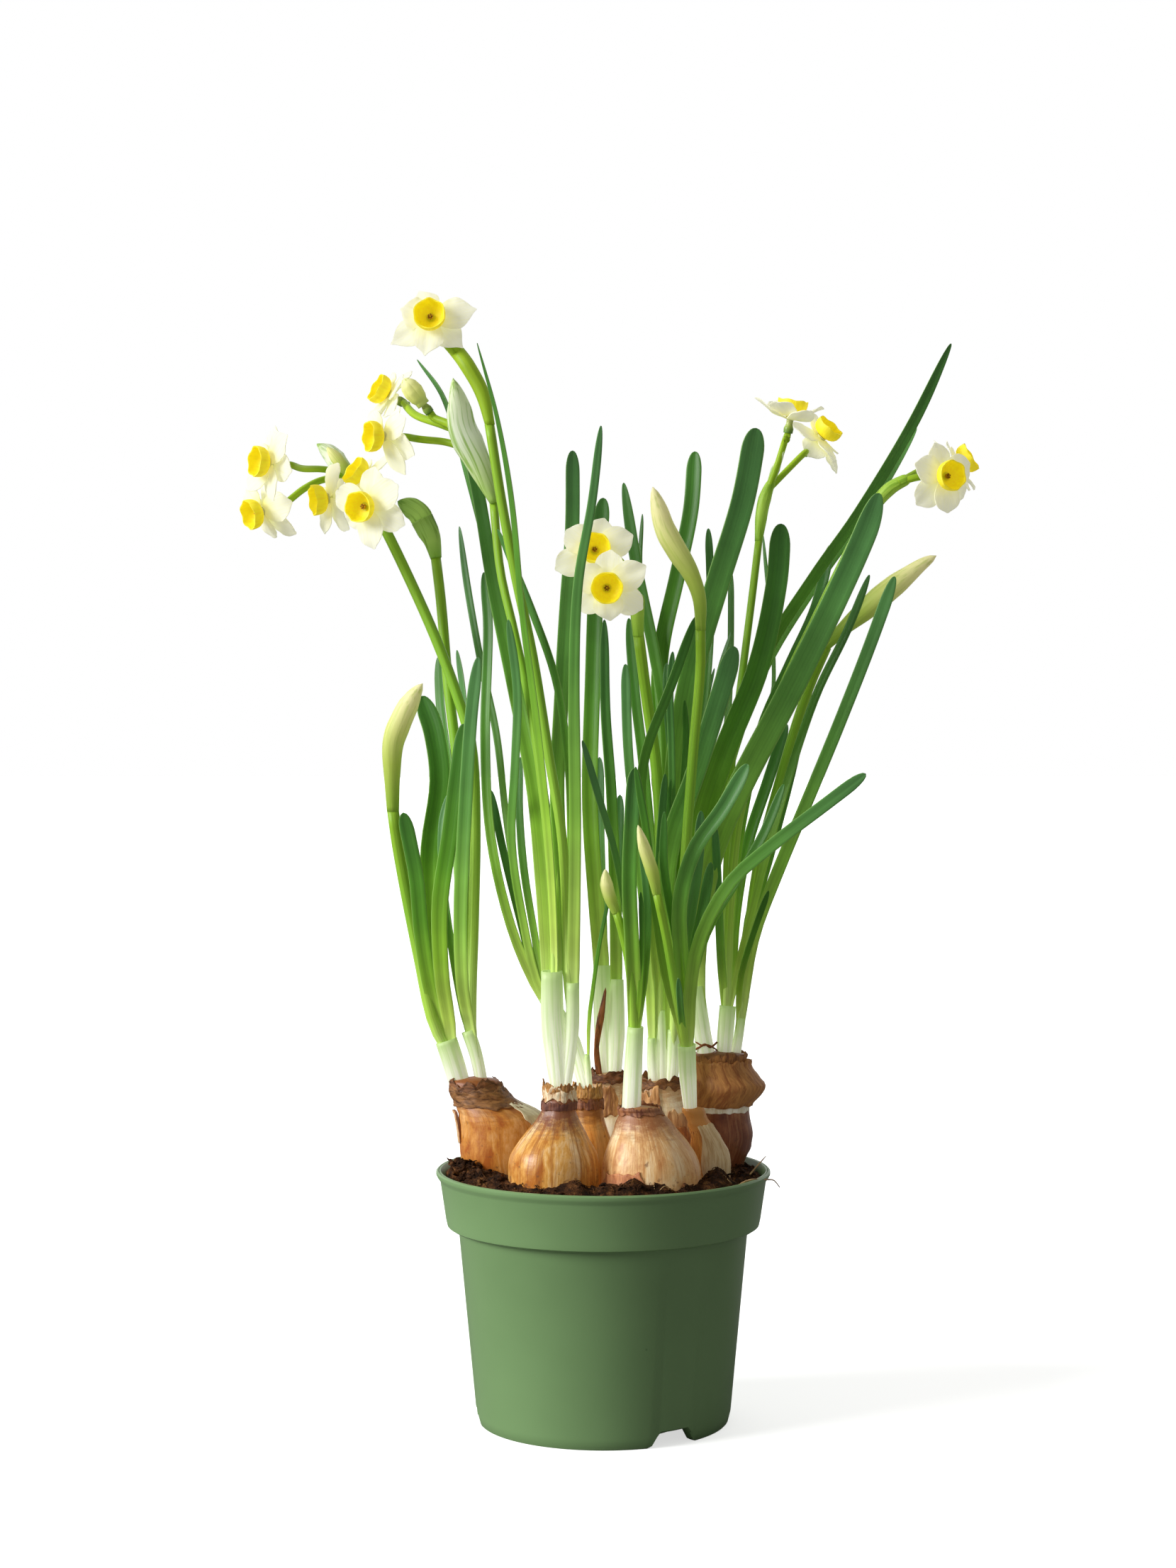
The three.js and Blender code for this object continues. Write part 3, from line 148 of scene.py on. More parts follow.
# Moulded polypropylene: a satin sage green, faintly clouded by its flow, with a few small pits and specks
polypropylene, tree, shader = new_material(
    "injection_moulded_polypropylene", IOR=1.49, Specular_IOR_Level=0.4
)
place = add_node(tree, "TexCoord", {})["Object"]
cloud = add_node(tree, "TexNoise", {"Scale": 18.0, "Detail": 3.0, "Vector": place})["Fac"]
green = add_node(tree, "ValToRGB", {"stops": [(0.3, "#71915F"), (0.72, "#799A66")], "Fac": cloud})["Color"]
pit = add_node(tree, "TexVoronoi", {"Scale": 130.0, "Vector": place})
dark = add_node(tree, "ValToRGB", {"stops": [(0.03, 1.0), (0.075, 0.0)], "Fac": pit["Distance"]})["Color"]
rare = add_node(tree, "Math", {"operation": "GREATER_THAN", 0: pit["Color"], 1: 0.9})[0]
speck = add_node(tree, "Math", {"operation": "MULTIPLY", 0: dark, 1: rare})[0]
faint = add_node(tree, "Math", {"operation": "MULTIPLY", 0: speck, 1: 0.55})[0]
specked = add_node(tree, "Mix", {"data_type": "RGBA", 0: faint, 6: green, 7: "#3E5634"})[2]
gloss = add_node(tree, "MapRange", {"To Min": 0.36, "To Max": 0.46, "Value": cloud})[0]
grit = add_node(tree, "TexNoise", {"Scale": 900.0, "Detail": 2.0, "Vector": place})["Fac"]
bump = add_node(tree, "Bump", {"Strength": 0.08, "Distance": 0.2 * MM, "Height": grit})[0]
feed(tree, shader, Base_Color=specked, Roughness=gloss, Normal=bump)

# Half section of the pot, from the middle of its pad up the outside and down the inside, with rounded edges
shelf = BODY_TOP_HEIGHT + SHELF_RISE
collar_top = POT_HEIGHT - LIP_HEIGHT
ring_inner = FOOT_RADIUS - FOOT_RING_WIDTH
floor_top = FOOT_HEIGHT + PAD_THICKNESS
lip_inner = RIM_RADIUS - LIP_WIDTH
profile = [
    (0, 0), (PAD_RADIUS - 0.6, 0), (PAD_RADIUS, 0.4), (PAD_RADIUS + PAD_SLOPE, FOOT_HEIGHT),
    (ring_inner - 0.8, FOOT_HEIGHT), (ring_inner, 0.3), (ring_inner + 0.4, 0), (FOOT_RADIUS - 0.5, 0),
    (FOOT_RADIUS, 0.5), (BODY_FOOT_RADIUS, FOOT_HEIGHT), (BODY_TOP_RADIUS, BODY_TOP_HEIGHT),
    (BODY_TOP_RADIUS + 0.5, shelf - 0.5), (COLLAR_FOOT_RADIUS - 1.6, shelf),
    (COLLAR_FOOT_RADIUS - 0.5, shelf + 0.7), (COLLAR_FOOT_RADIUS, COLLAR_FOOT_HEIGHT),
    (COLLAR_TOP_RADIUS - 0.1, collar_top - 0.6), (COLLAR_TOP_RADIUS + 0.3, collar_top + 0.2),
    (RIM_RADIUS - 0.4, collar_top + 1.1), (RIM_RADIUS, collar_top + 1.9),
    (RIM_RADIUS, POT_HEIGHT - 0.5), (RIM_RADIUS - 0.5, POT_HEIGHT), (RIM_RADIUS - 0.8, POT_HEIGHT),
    (RIM_RADIUS - 0.95, POT_HEIGHT - 0.25), (RIM_RADIUS - 1.1, POT_HEIGHT),
    (lip_inner + 0.3, POT_HEIGHT), (lip_inner, POT_HEIGHT - 0.4),
    (COLLAR_TOP_RADIUS - POT_WALL, collar_top), (COLLAR_FOOT_RADIUS - POT_WALL, COLLAR_FOOT_HEIGHT),
    (BODY_TOP_RADIUS - POT_WALL, shelf), (BODY_FOOT_RADIUS - POT_WALL, floor_top), (PAD_RADIUS, floor_top),
    (PAD_RADIUS - PAD_SLOPE, PAD_THICKNESS), (0, PAD_THICKNESS),
]
bm = bmesh.new()
wall = [bm.verts.new((radius * MM, 0, height * MM)) for radius, height in profile]
for lower, upper in zip(wall, wall[1:]):
    bm.edges.new((lower, upper))
bmesh.ops.spin(
    bm, geom=bm.verts[:] + bm.edges[:], cent=(0, 0, 0), axis=(0, 0, 1), angle=math.tau, steps=POT_SEGMENTS,
    use_merge=True,
)
# The foot ring is raised over each notch, and slopes down to the surface at both ends of it
half_step = 180 / NOTCH_COUNT
for vert in bm.verts:
    height = vert.co.z / MM
    angle = math.degrees(math.atan2(vert.co.y, vert.co.x)) - NOTCH_FIRST_ANGLE
    off_notch = abs((angle + half_step) % (2 * half_step) - half_step)
    opening = min(max((NOTCH_FOOT_HALF - off_notch) / (NOTCH_FOOT_HALF - NOTCH_TOP_HALF), 0), 1)
    if math.hypot(vert.co.x, vert.co.y) / MM > ring_inner - 0.1 and height < FOOT_HEIGHT + 0.1:
        vert.co.z = max(height, opening * NOTCH_HEIGHT + 0.12 * height) * MM
finish_piece("nursery_pot", bm, [polypropylene], ["pot"], sharp=32)

# Potting compost
# Dark fibrous peat and bark that fills the pot to a little below the lip. It is pressed in around the bulbs,
# and heaped against them at the left. Loose crumbs and pale root threads lie on it.

EYE_DISTANCE = 1000
EYE_HEIGHT = 250
FAN_START = 130
FAN_HEIGHT = 270
FAN_FRONT = 0.75
FAN_BACK = 1.3
SOIL_HEIGHT = 87
SOIL_RADIUS = 56.6
SOIL_FOOT = 6.6
HEAP_AREA = 150
RIDGE_RADIUS = 47
RIDGE_WIDTH = 6
RIDGE_START = -20
BED_EDGE = 0.93
BED_EDGE_WIDTH = 0.07
BED_EDGE_DROP = 3
CRUMB_COUNT = 1500
CRUMB_ROOM = 1.2
FIBRE_COUNT = 170
FIBRE_ROOM = 1.5
THREAD_COUNT = 16


def seen(x, z, y):
    """The point that looks to be at x, z from the front and lies y behind the pot's middle.
    The clump opens out towards the front and the back as it rises."""
    rise = max(z - FAN_START, 0) / FAN_HEIGHT
    depth = y * (1 + rise * (FAN_FRONT if y < 0 else FAN_BACK))
    scale = 1 + depth / EYE_DISTANCE
    return Vector((x * scale, depth, EYE_HEIGHT + (z - EYE_HEIGHT) * scale))


def along(values, share):
    """The value at a share of the way along an evenly spaced list."""
    if not isinstance(values, (list, tuple)):
        return values
    spot = min(max(share, 0), 1) * (len(values) - 1)
    before = min(int(spot), len(values) - 2) if len(values) > 1 else 0
    after = min(before + 1, len(values) - 1)
    return values[before] + (values[after] - values[before]) * (spot - before)


def smooth_path(points):
    """Gives the place and the direction at any share of the length of a smooth path, and its length."""
    ends = [2 * points[0] - points[1], *points, 2 * points[-1] - points[-2]]
    dense = []
    for before, start, end, after in zip(ends, ends[1:], ends[2:], ends[3:]):
        reach = (end - start).length / 3
        lead = start + (end - before).normalized() * reach
        trail = end - (after - start).normalized() * reach
        dense += interpolate_bezier(start, lead, trail, end, 11)[:-1]
    dense.append(points[-1])
    marks = [0, *accumulate((b - a).length for a, b in zip(dense, dense[1:]))]

    def at(share):
        distance = min(max(share, 0), 1) * marks[-1]
        i = min(bisect_right(marks, distance) - 1, len(dense) - 2)
        step = dense[i + 1] - dense[i]
        back = dense[max(i - 1, 0)]
        ahead = dense[min(i + 2, len(dense) - 1)]
        spot = dense[i] + step * ((distance - marks[i]) / max(step.length, 1e-9))
        return spot, (ahead - back).normalized()

    return at, marks[-1]


def grown_mesh():
    """An empty mesh that keeps, for each point, its place on the straightened limb and its growth marks:
    the limb's own tint, the share of the way to its tip and the place across it."""
    bm = bmesh.new()
    bm.verts.layers.float_vector.new("straight")
    bm.verts.layers.float_vector.new("growth")
    return bm


def grow_limb(bm, points, width, thickness=0, turn=0, channel=0, taper=0, foot=0, sides=10, rings=24,
              tint=0.5, crowding=1.0, mouth=False, across=(0, 1, 0)):
    """Grows a closed limb along a smooth path, from its foot to its tip. Across, it is a lens that can be
    turned about the path and folded to a channel. Its tip rounds off over the taper, or ends in an open
    mouth."""
    path, length = smooth_path(points)
    straight = bm.verts.layers.float_vector["straight"]
    growth = bm.verts.layers.float_vector["growth"]
    rows = [(0, 0)] + [(1 - (1 - i / rings) ** crowding, 1) for i in range(rings + 1)]
    rows += [(1, 0.84), (0.96, 0.76), (0.94, 0)] if mouth else [(1, 0)]
    last = len(rows) - 1
    made = bmesh.ops.create_grid(bm, x_segments=sides, y_segments=last, size=0.5)["verts"]
    for vert in made:
        angle = (vert.co.x + 0.5) * math.tau
        share, spread = rows[round((vert.co.y + 0.5) * last)]
        spot, ahead = path(share)
        level = Vector(across).cross(ahead).normalized()
        facing = level.cross(ahead).normalized()
        lean = math.radians(along(turn, share))
        side = level * math.cos(lean) + facing * math.sin(lean)
        front = side.cross(ahead).normalized()
        rest = min((1 - share) * length / taper, 1) if taper else 1
        swell = min(share * length / foot, 1) if foot else 1
        fullness = (0.06 + 0.94 * math.sqrt(max(1 - (1 - rest) ** 2, 0))) * (0.5 + 0.5 * swell)
        full_width = along(width, share)
        half_width = full_width / 2 * fullness
        half_thickness = (thickness or full_width) / 2 * max(fullness, 0.3)
        x = math.cos(angle)
        z = math.sin(angle)
        fold = channel * half_width * (1 - abs(x))
        where = spot + side * (x * half_width * spread) + front * ((z * half_thickness - fold) * spread)
        vert.co = where * MM
        vert[straight] = (x * half_width, z * half_thickness, share * length)
        vert[growth] = (tint, share, x)
    return made


def upward(widths):
    """Widths noted from the tip down, turned round to run from the foot up."""
    return widths[::-1] if isinstance(widths, tuple) else widths


def climb(outline, depths):
    """A path from the foot up, of points noted from the tip down at depths spread over them."""
    last = len(outline) - 1
    return [seen(x, z, along(depths, i / last)) for i, (x, z) in enumerate(outline)][::-1]


def compost_height(x, y):
    """Height of the compost's top: a bed of lumps and crumbs, heaped at the left and right and along the
    front."""
    heap = 5.6 * math.exp(-((x + 50) ** 2 + (y + 6) ** 2) / HEAP_AREA)
    heap += 2.2 * math.exp(-((x - 52) ** 2 + y ** 2) / HEAP_AREA)
    if y < RIDGE_START:
        ridge = 4 + 3 * noise.noise(Vector((x * 0.14, 2, 7)))
        heap += ridge * math.exp(-((math.hypot(x, y) - RIDGE_RADIUS) / RIDGE_WIDTH) ** 2)
    lumps = 1.4 * noise.noise(Vector((x, y, 3)) * 0.16)
    crumbs = abs(noise.noise(Vector((x, y, 9)) * 0.5)) + 0.5 * abs(noise.noise(Vector((x, y, 5)) * 1.1))
    return SOIL_HEIGHT - 0.2 + heap + lumps + 1.9 * crumbs


# Peat compost: nearly black where damp, warm brown on dry crumbs and fibres, with no gloss at all
compost, tree, shader = new_material("peat_compost", Roughness=0.95, Specular_IOR_Level=0.15)
place = add_node(tree, "TexCoord", {})["Object"]
fine = add_node(
    tree, "TexNoise", {"Scale": 1100.0, "Detail": 5.0, "Roughness": 0.75, "Distortion": 1.2, "Vector": place}
)["Fac"]
broad = add_node(tree, "TexNoise", {"Scale": 260.0, "Detail": 4.0, "Vector": place})["Fac"]
half = add_node(tree, "Math", {"operation": "MULTIPLY", 0: fine, 1: 0.5})[0]
both = add_node(tree, "Math", {"operation": "MULTIPLY_ADD", 0: broad, 1: 0.5, 2: half})[0]
browns = [(0.38, "#1A0F09"), (0.48, "#3B2415"), (0.56, "#664023"), (0.66, "#A0713F")]
brown = add_node(tree, "ValToRGB", {"stops": browns, "Fac": both})["Color"]
bump = add_node(tree, "Bump", {"Strength": 1.0, "Distance": 0.7 * MM, "Height": fine})[0]
feed(tree, shader, Base_Color=brown, Normal=bump)

# The bed is one closed body: its upper half is the lumpy top, its lower half follows the inside of the pot,
# with a radius and a height at each share of the way down
bm = bmesh.new()
bed_sides = [
    (0, SOIL_RADIUS, 84), (0.2, 54.2, 74), (0.32, 50, 69.6), (0.75, 44, SOIL_FOOT), (1, 0, SOIL_FOOT),
]
for vert in bmesh.ops.create_uvsphere(bm, u_segments=240, v_segments=190, radius=1)["verts"]:
    polar = math.acos(max(-1, min(1, vert.co.z))) / math.pi * 2
    angle = math.atan2(vert.co.y, vert.co.x)
    if polar <= 1:
        radius = SOIL_RADIUS * polar
        x, y = radius * math.cos(angle), radius * math.sin(angle)
        rounding = BED_EDGE_DROP * max(polar - BED_EDGE, 0) / BED_EDGE_WIDTH
        vert.co = Vector((x, y, compost_height(x, y) - rounding)) * MM
    else:
        low = polar - 1
        for (s0, r0, z0), (s1, r1, z1) in zip(bed_sides, bed_sides[1:]):
            if s0 <= low <= s1 + 1e-6:
                t = (low - s0) / (s1 - s0)
                radius, height = r0 + (r1 - r0) * t, z0 + (z1 - z0) * t
        vert.co = Vector((radius * math.cos(angle), radius * math.sin(angle), height)) * MM
finish_piece("compost_bed", bm, [compost], ["soil"])

# Loose crumbs of bark and peat, turned every way, more of them in the heap at the left, and fine dark fibres
dice = random.Random(7)
bm = bmesh.new()
for i in range(CRUMB_COUNT):
    angle = dice.uniform(0, math.tau)
    radius = SOIL_RADIUS * math.sqrt(dice.uniform(0.12, 0.95))
    x, y = radius * math.cos(angle), radius * math.sin(angle)
    if i % 4 == 0:
        x, y = -50 + dice.gauss(0, 5), -8 + dice.gauss(0, 10)
    if math.hypot(x, y) > SOIL_RADIUS - CRUMB_ROOM:
        continue
    size = 0.35 + 1.0 * dice.random() ** 4
    centre = Vector((x, y, compost_height(x, y) + 0.3 * size))
    stretch = Vector((dice.uniform(0.8, 2.2), dice.uniform(0.6, 1.2), dice.uniform(0.3, 0.8)))
    tumble = Euler((dice.uniform(-0.7, 0.7), dice.uniform(-0.7, 0.7), dice.uniform(0, math.tau))).to_matrix()
    for vert in bmesh.ops.create_icosphere(bm, subdivisions=1, radius=1)["verts"]:
        rough = 1 + 0.9 * noise.noise(vert.co * 2.1 + Vector((i, 0, 0)))
        vert.co = (centre + tumble @ (vert.co * rough * size * stretch)) * MM
finish_piece("compost_crumbs", bm, [compost])

# Dry root threads: pale straw, thin and curled
root_thread, tree, shader = new_material("dry_root_threads", Roughness=0.7)
place = add_node(tree, "TexCoord", {})["Object"]
cloud = add_node(tree, "TexNoise", {"Scale": 160.0, "Detail": 2.0, "Vector": place})["Fac"]
straw = add_node(tree, "ValToRGB", {"stops": [(0.35, "#7A5432"), (0.65, "#D9B37C")], "Fac": cloud})["Color"]
feed(tree, shader, Base_Color=straw)

bm = grown_mesh()
fibres = grown_mesh()
for i in range(FIBRE_COUNT + THREAD_COUNT):
    angle = dice.uniform(0, math.tau) if i % 3 else dice.uniform(-2.8, -0.4)
    radius = SOIL_RADIUS * math.sqrt(dice.uniform(0.35, 0.95))
    spot = Vector((radius * math.cos(angle), radius * math.sin(angle), 0))
    heading = Vector((dice.uniform(-1, 1), dice.uniform(-1, 1), 0)).normalized()
    reach = dice.uniform(2, 6)
    points = []
    for step in range(4):
        stray = Vector((dice.uniform(-0.8, 0.8), dice.uniform(-0.8, 0.8), 0))
        where = spot + heading * reach * step / 3 + stray
        lift = (0, 0.7, 0.9, 0.1)[step] * dice.uniform(0.4, 1.4)
        if math.hypot(where.x, where.y) > SOIL_RADIUS - FIBRE_ROOM:
            where *= (SOIL_RADIUS - FIBRE_ROOM) / math.hypot(where.x, where.y)
        points.append(Vector((where.x, where.y, compost_height(where.x, where.y) + lift)))
    grow_limb(fibres if i < FIBRE_COUNT else bm, points, dice.uniform(0.16, 0.36), sides=5, rings=8)
finish_piece("peat_fibres", fibres, [compost])

# The few long ones: each has points of x, height and y, and its width
loose_roots = [
    ([(45, 87.5, -31), (50, 90, -28), (55, 89.6, -22), (58, 88.6, -16), (61, 87.2, -10), (63, 84.5, -8)],
     0.75),
    ([(52, 90, -14), (54.6, 92.6, -12), (58, 95.8, -9)], 0.6),
    ([(-39.6, 86.8, -38), (-39, 87.6, -41), (-37.4, 85.6, -44)], 0.5),
    ([(-11.4, 86.4, -47), (-10.4, 88.4, -48), (-9, 89, -49)], 0.45),
]
for points, width in loose_roots:
    grow_limb(bm, [Vector((x, y, z)) for x, z, y in points], (width, width, width * 0.4), sides=6, rings=16)
finish_piece("root_threads", bm, [root_thread])

# Bulbs
# Eight daffodil bulbs, set shoulder to shoulder and half out of the compost. Each is wrapped in papery brown
# tunics with fine upright veins, torn at the neck where the shoots come out.

TUNIC_THICKNESS = 0.35
BULB_SIDES = 64
BULB_RINGS = 48
FLESH_GLOW = 0.13

# Each bulb: how far it stands back, its depth for its breadth, and its rings from its base to its neck, with
# the height, the radius and the middle of each
bulbs = {
    1: dict(y=5, deep=0.85, rings=[
        (64, 0, -34), (70, 8, -34), (84, 13, -35.5), (94, 15.7, -35.8), (106, 15.6, -36.4), (109, 15, -37.5),
        (111, 13.5, -39.5), (114, 10.8, -43), (118, 9.4, -45.4), (122, 7.6, -46.4), (122.6, 0, -46.4),
    ]),
    2: dict(y=-30, deep=1, rings=[
        (64, 0, -17), (72, 11.5, -17), (84, 15.4, -17.2), (94, 16.1, -17.2), (100, 15.1, -17.1),
        (104, 12.9, -16.9), (108, 10.1, -16.3), (112, 7.5, -15.8), (115, 5.9, -15.5), (119.6, 5.4, -15.2),
        (120.6, 0, -15.2),
    ]),
    3: dict(y=-28, deep=0.95, rings=[
        (63, 0, 16.5), (71, 13.6, 16.6), (83, 17.6, 16.8), (94, 17.5, 16.7), (99, 16.3, 16.4),
        (104, 13.9, 15.7), (108, 11.2, 14.8), (112, 8.9, 13.9), (114.6, 7.3, 13), (116, 6.8, 12.6),
        (116.6, 0, 12.6),
    ]),
    4: dict(y=17, deep=0.85, rings=[
        (68, 0, 40), (76, 7, 40), (90, 10.8, 41), (99, 12.6, 42.2), (107, 11.8, 41.8), (111, 11.4, 42),
        (114, 12.2, 43.8), (117.6, 12.4, 45.4), (121, 10.8, 43.8), (125, 9.6, 42.2), (130, 9.2, 42),
        (130.6, 0, 42),
    ]),
    5: dict(y=-5, deep=1, rings=[
        (70, 0, -3), (77, 5, -3), (90, 7, -3), (100, 6.6, -3.4), (108, 5.2, -4.8), (119.6, 4.4, -5.6),
        (120.2, 0, -5.6),
    ]),
    6: dict(y=20, deep=0.95, rings=[
        (66, 0, 1), (73, 9.6, 1), (88, 13, 1), (100, 12, 1.2), (108, 9.8, 1.8), (115, 7.8, 2.2),
        (122, 6.8, 2.3), (122.8, 0, 2.3),
    ]),
    7: dict(y=4, deep=0.85, rings=[
        (67, 0, 20), (75, 9, 20.2), (90, 12, 21), (101, 12, 21.4), (108, 11, 21.8), (114, 9.4, 21.4),
        (121, 7.4, 21), (122, 0, 21),
    ]),
    8: dict(y=-12, deep=1, rings=[
        (70, 0, 37), (77, 5.4, 37.1), (89, 7, 37.8), (98, 6.5, 37.6), (104, 5, 36), (109, 3.9, 33.6),
        (113.6, 3.7, 31.8), (114.2, 0, 31.8),
    ]),
}

# Tunic: thin dry skin with a silky gloss. It is clouded orange and gold, streaked along its veins, wrinkled
# and darker round the neck, and stained by the compost low down. Each row has the dark clouds, middle tone,
# light clouds, streaks, how strong they are, the neck's tone, the share of the height where it starts, and
# the roughness.
tunics = {
    1: ("#A4571C", "#CB8A3A", "#E2B072", "#94501E", 0.4, "#7E4620", 0.8, 0.4),
    2: ("#B0661E", "#DDA654", "#FADCA8", "#94501C", 0.75, "#6B3A30", 0.8, 0.28),
    3: ("#B87C44", "#E0B67C", "#F3DCB0", "#A4622C", 0.55, "#8E5430", 0.84, 0.4),
    4: ("#5A2C16", "#784226", "#96603A", "#BE8E66", 0.4, "#8A5A34", 0.8, 0.38),
    5: ("#B46E28", "#D69A4A", "#E8BC78", "#7C4517", 0.5, "#7A4A26", 0.75, 0.36),
    6: ("#D6BE90", "#F1E6C8", "#F8F2DF", "#C9A66E", 0.3, "#A8743F", 0.86, 0.42),
    7: ("#D9B883", "#F1E6C8", "#F8F2DF", "#B98A50", 0.35, "#B07A44", 0.86, 0.42),
    8: ("#BA8446", "#DCAE72", "#EACA98", "#94622C", 0.4, "#B8762F", 0.72, 0.42),
}


def growth_marks(tree):
    """The growth marks of a limb: its tint as X, the share of the way up it as Y and the place across it as
    Z."""
    growth = add_node(tree, "Attribute", {"attribute_name": "growth"})["Vector"]
    return add_node(tree, "SeparateXYZ", {0: growth})


def grain(tree, straight, lie, **settings):
    """Soft grain on a straightened skin, packed or drawn out by one scale for each of its directions."""
    pulled = add_node(tree, "Mapping", {"Scale": lie, "Vector": straight})[0]
    return add_node(tree, "TexNoise", {"Scale": 1.0, "Vector": pulled, **settings})["Fac"]


def tunic_material(name, dark, middle, light, streak, streak_strength, neck, neck_start, roughness):
    """Papery tunic on a bulb, with its streaks drawn on the straightened skin. A little glow stands for the
    light that is scattered in the moist flesh beneath it."""
    material, tree, shader = new_material(
        name, Roughness=roughness, Specular_IOR_Level=0.35, Coat_Weight=0.15, Coat_Roughness=0.3,
        Emission_Color=dark, Emission_Strength=FLESH_GLOW,
    )
    skin = add_node(tree, "Attribute", {"attribute_name": "straight"})["Vector"]
    share = growth_marks(tree)["Y"]
    place = add_node(tree, "TexCoord", {})["Object"]
    clouds = grain(tree, skin, (0.11, 0.11, 0.05), Detail=7.0, Roughness=0.7, Distortion=0.4)
    tones = [(0.38, dark), (0.5, middle), (0.62, light)]
    ground = add_node(tree, "ValToRGB", {"stops": tones, "Fac": clouds})["Color"]
    broad = grain(tree, skin, (0.42, 0.42, 0.02), Detail=4.0, Roughness=0.7)
    fine = grain(tree, skin, (1.9, 1.9, 0.05), Detail=3.0)
    streaks = add_node(tree, "Math", {"operation": "MULTIPLY_ADD", 0: fine, 1: 0.3, 2: broad})[0]
    fade_in = [(0.63, 0.0), (0.78, streak_strength)]
    streak_mark = add_node(tree, "ValToRGB", {"stops": fade_in, "Fac": streaks})["Color"]
    streaked = add_node(tree, "Mix", {"data_type": "RGBA", 0: streak_mark, 6: ground, 7: streak})[2]
    wrinkles = grain(tree, skin, (0.16, 0.16, 0.8), Detail=5.0, Roughness=0.65)
    wander = add_node(tree, "Math", {"operation": "MULTIPLY_ADD", 0: wrinkles, 1: 0.3, 2: share})[0]
    neck_rise = {"From Min": neck_start + 0.1, "From Max": neck_start + 0.22, "To Min": 0.0, "To Max": 0.92}
    neck_mark = add_node(tree, "MapRange", {**neck_rise, "Value": wander})[0]
    necked = add_node(tree, "Mix", {"data_type": "RGBA", 0: neck_mark, 6: streaked, 7: neck})[2]
    dirt = add_node(tree, "TexNoise", {"Scale": 380.0, "Detail": 5.0, "Vector": place})["Fac"]
    height = add_node(tree, "SeparateXYZ", {0: place})["Z"]
    soil_line = {"From Min": 0.1, "From Max": 0.084, "To Min": 0.0, "To Max": 0.16}
    low = add_node(tree, "MapRange", {**soil_line, "Value": height})[0]
    dirt_level = add_node(tree, "Math", {"operation": "ADD", 0: dirt, 1: low})[0]
    dirt_mark = add_node(tree, "ValToRGB", {"stops": [(0.66, 0.0), (0.74, 0.8)], "Fac": dirt_level})["Color"]
    soiled = add_node(tree, "Mix", {"data_type": "RGBA", 0: dirt_mark, 6: necked, 7: "#6B452A"})[2]
    gloss_range = {"To Min": roughness - 0.12, "To Max": roughness + 0.22}
    gloss = add_node(tree, "MapRange", {**gloss_range, "Value": clouds})[0]
    creases = add_node(tree, "Math", {"operation": "MULTIPLY", 0: wrinkles, 1: share})[0]
    relief = add_node(tree, "Math", {"operation": "MULTIPLY_ADD", 0: fine, 1: 0.4, 2: creases})[0]
    bump = add_node(tree, "Bump", {"Strength": 0.5, "Distance": 0.4 * MM, "Height": relief})[0]
    feed(tree, shader, Base_Color=soiled, Roughness=gloss, Normal=bump)
    return material


def bulb_surface(bulb, height, angle, lift=0):
    """The point of a bulb's skin at a height and an angle round it, with its soft lumps and ribs."""
    rings = bulb["rings"]
    share = 0
    for i in range(len(rings) - 1):
        if rings[i][0] <= height <= rings[i + 1][0] or i == len(rings) - 2:
            share = (height - rings[i][0]) / (rings[i + 1][0] - rings[i][0])
            break
    share = min(max(share, 0), 1)
    before = rings[max(i - 1, 0)]
    after = rings[min(i + 2, len(rings) - 1)]

    def eased(k):
        slope_in = (rings[i + 1][k] - before[k]) / 2
        slope_out = (after[k] - rings[i][k]) / 2
        s2, s3 = share ** 2, share ** 3
        return ((2 * s3 - 3 * s2 + 1) * rings[i][k] + (s3 - 2 * s2 + share) * slope_in
                + (3 * s2 - 2 * s3) * rings[i + 1][k] + (s3 - s2) * slope_out)

    if 0 < i < len(rings) - 2:
        radius = max(eased(1), 0)
    else:
        radius = rings[i][1] + (rings[i + 1][1] - rings[i][1]) * share
    middle = eased(2)
    if radius > 0.5:
        swell = noise.noise(Vector((math.cos(angle), math.sin(angle), height * 0.06 + middle)) * 1.4)
        rib = noise.noise(Vector((math.cos(angle) * 9, math.sin(angle) * 9, middle)))
        radius += 0.5 * swell + 0.18 * rib + lift
    depth = radius * bulb["deep"]
    return Vector((middle + radius * math.cos(angle), bulb["y"] + depth * math.sin(angle), height))


for number, bulb in bulbs.items():
    bm = grown_mesh()
    straight = bm.verts.layers.float_vector["straight"]
    growth = bm.verts.layers.float_vector["growth"]
    low, high = bulb["rings"][0][0], bulb["rings"][-1][0]
    widest = max(ring[1] for ring in bulb["rings"])
    for vert in bmesh.ops.create_grid(bm, x_segments=BULB_SIDES, y_segments=BULB_RINGS, size=0.5)["verts"]:
        angle = (vert.co.x + 0.5) * math.tau
        share = vert.co.y + 0.5
        height = low + (high - low) * share
        spot = bulb_surface(bulb, height, angle)
        vert[straight] = (widest * math.cos(angle), widest * math.sin(angle), height)
        vert[growth] = (0.5, share, 0)
        vert.co = spot * MM
    skin = tunic_material(f"papery_tunic_{number}", *tunics[number])
    finish_piece(f"bulb_tunic_{number}", bm, [skin], [f"bulb_{number}"])

# Torn tunics
# The outer skins dry, split and peel off in ragged scales, most of them round the necks where the shoots
# push through. They are as thin as paper, streaked and crumpled, and cling to the bulb except at their loose
# edges.

BARK_CRUMPLE = 1.0
SCALE_CLEARANCE = 0.08
LOWEST_SKIN = 80

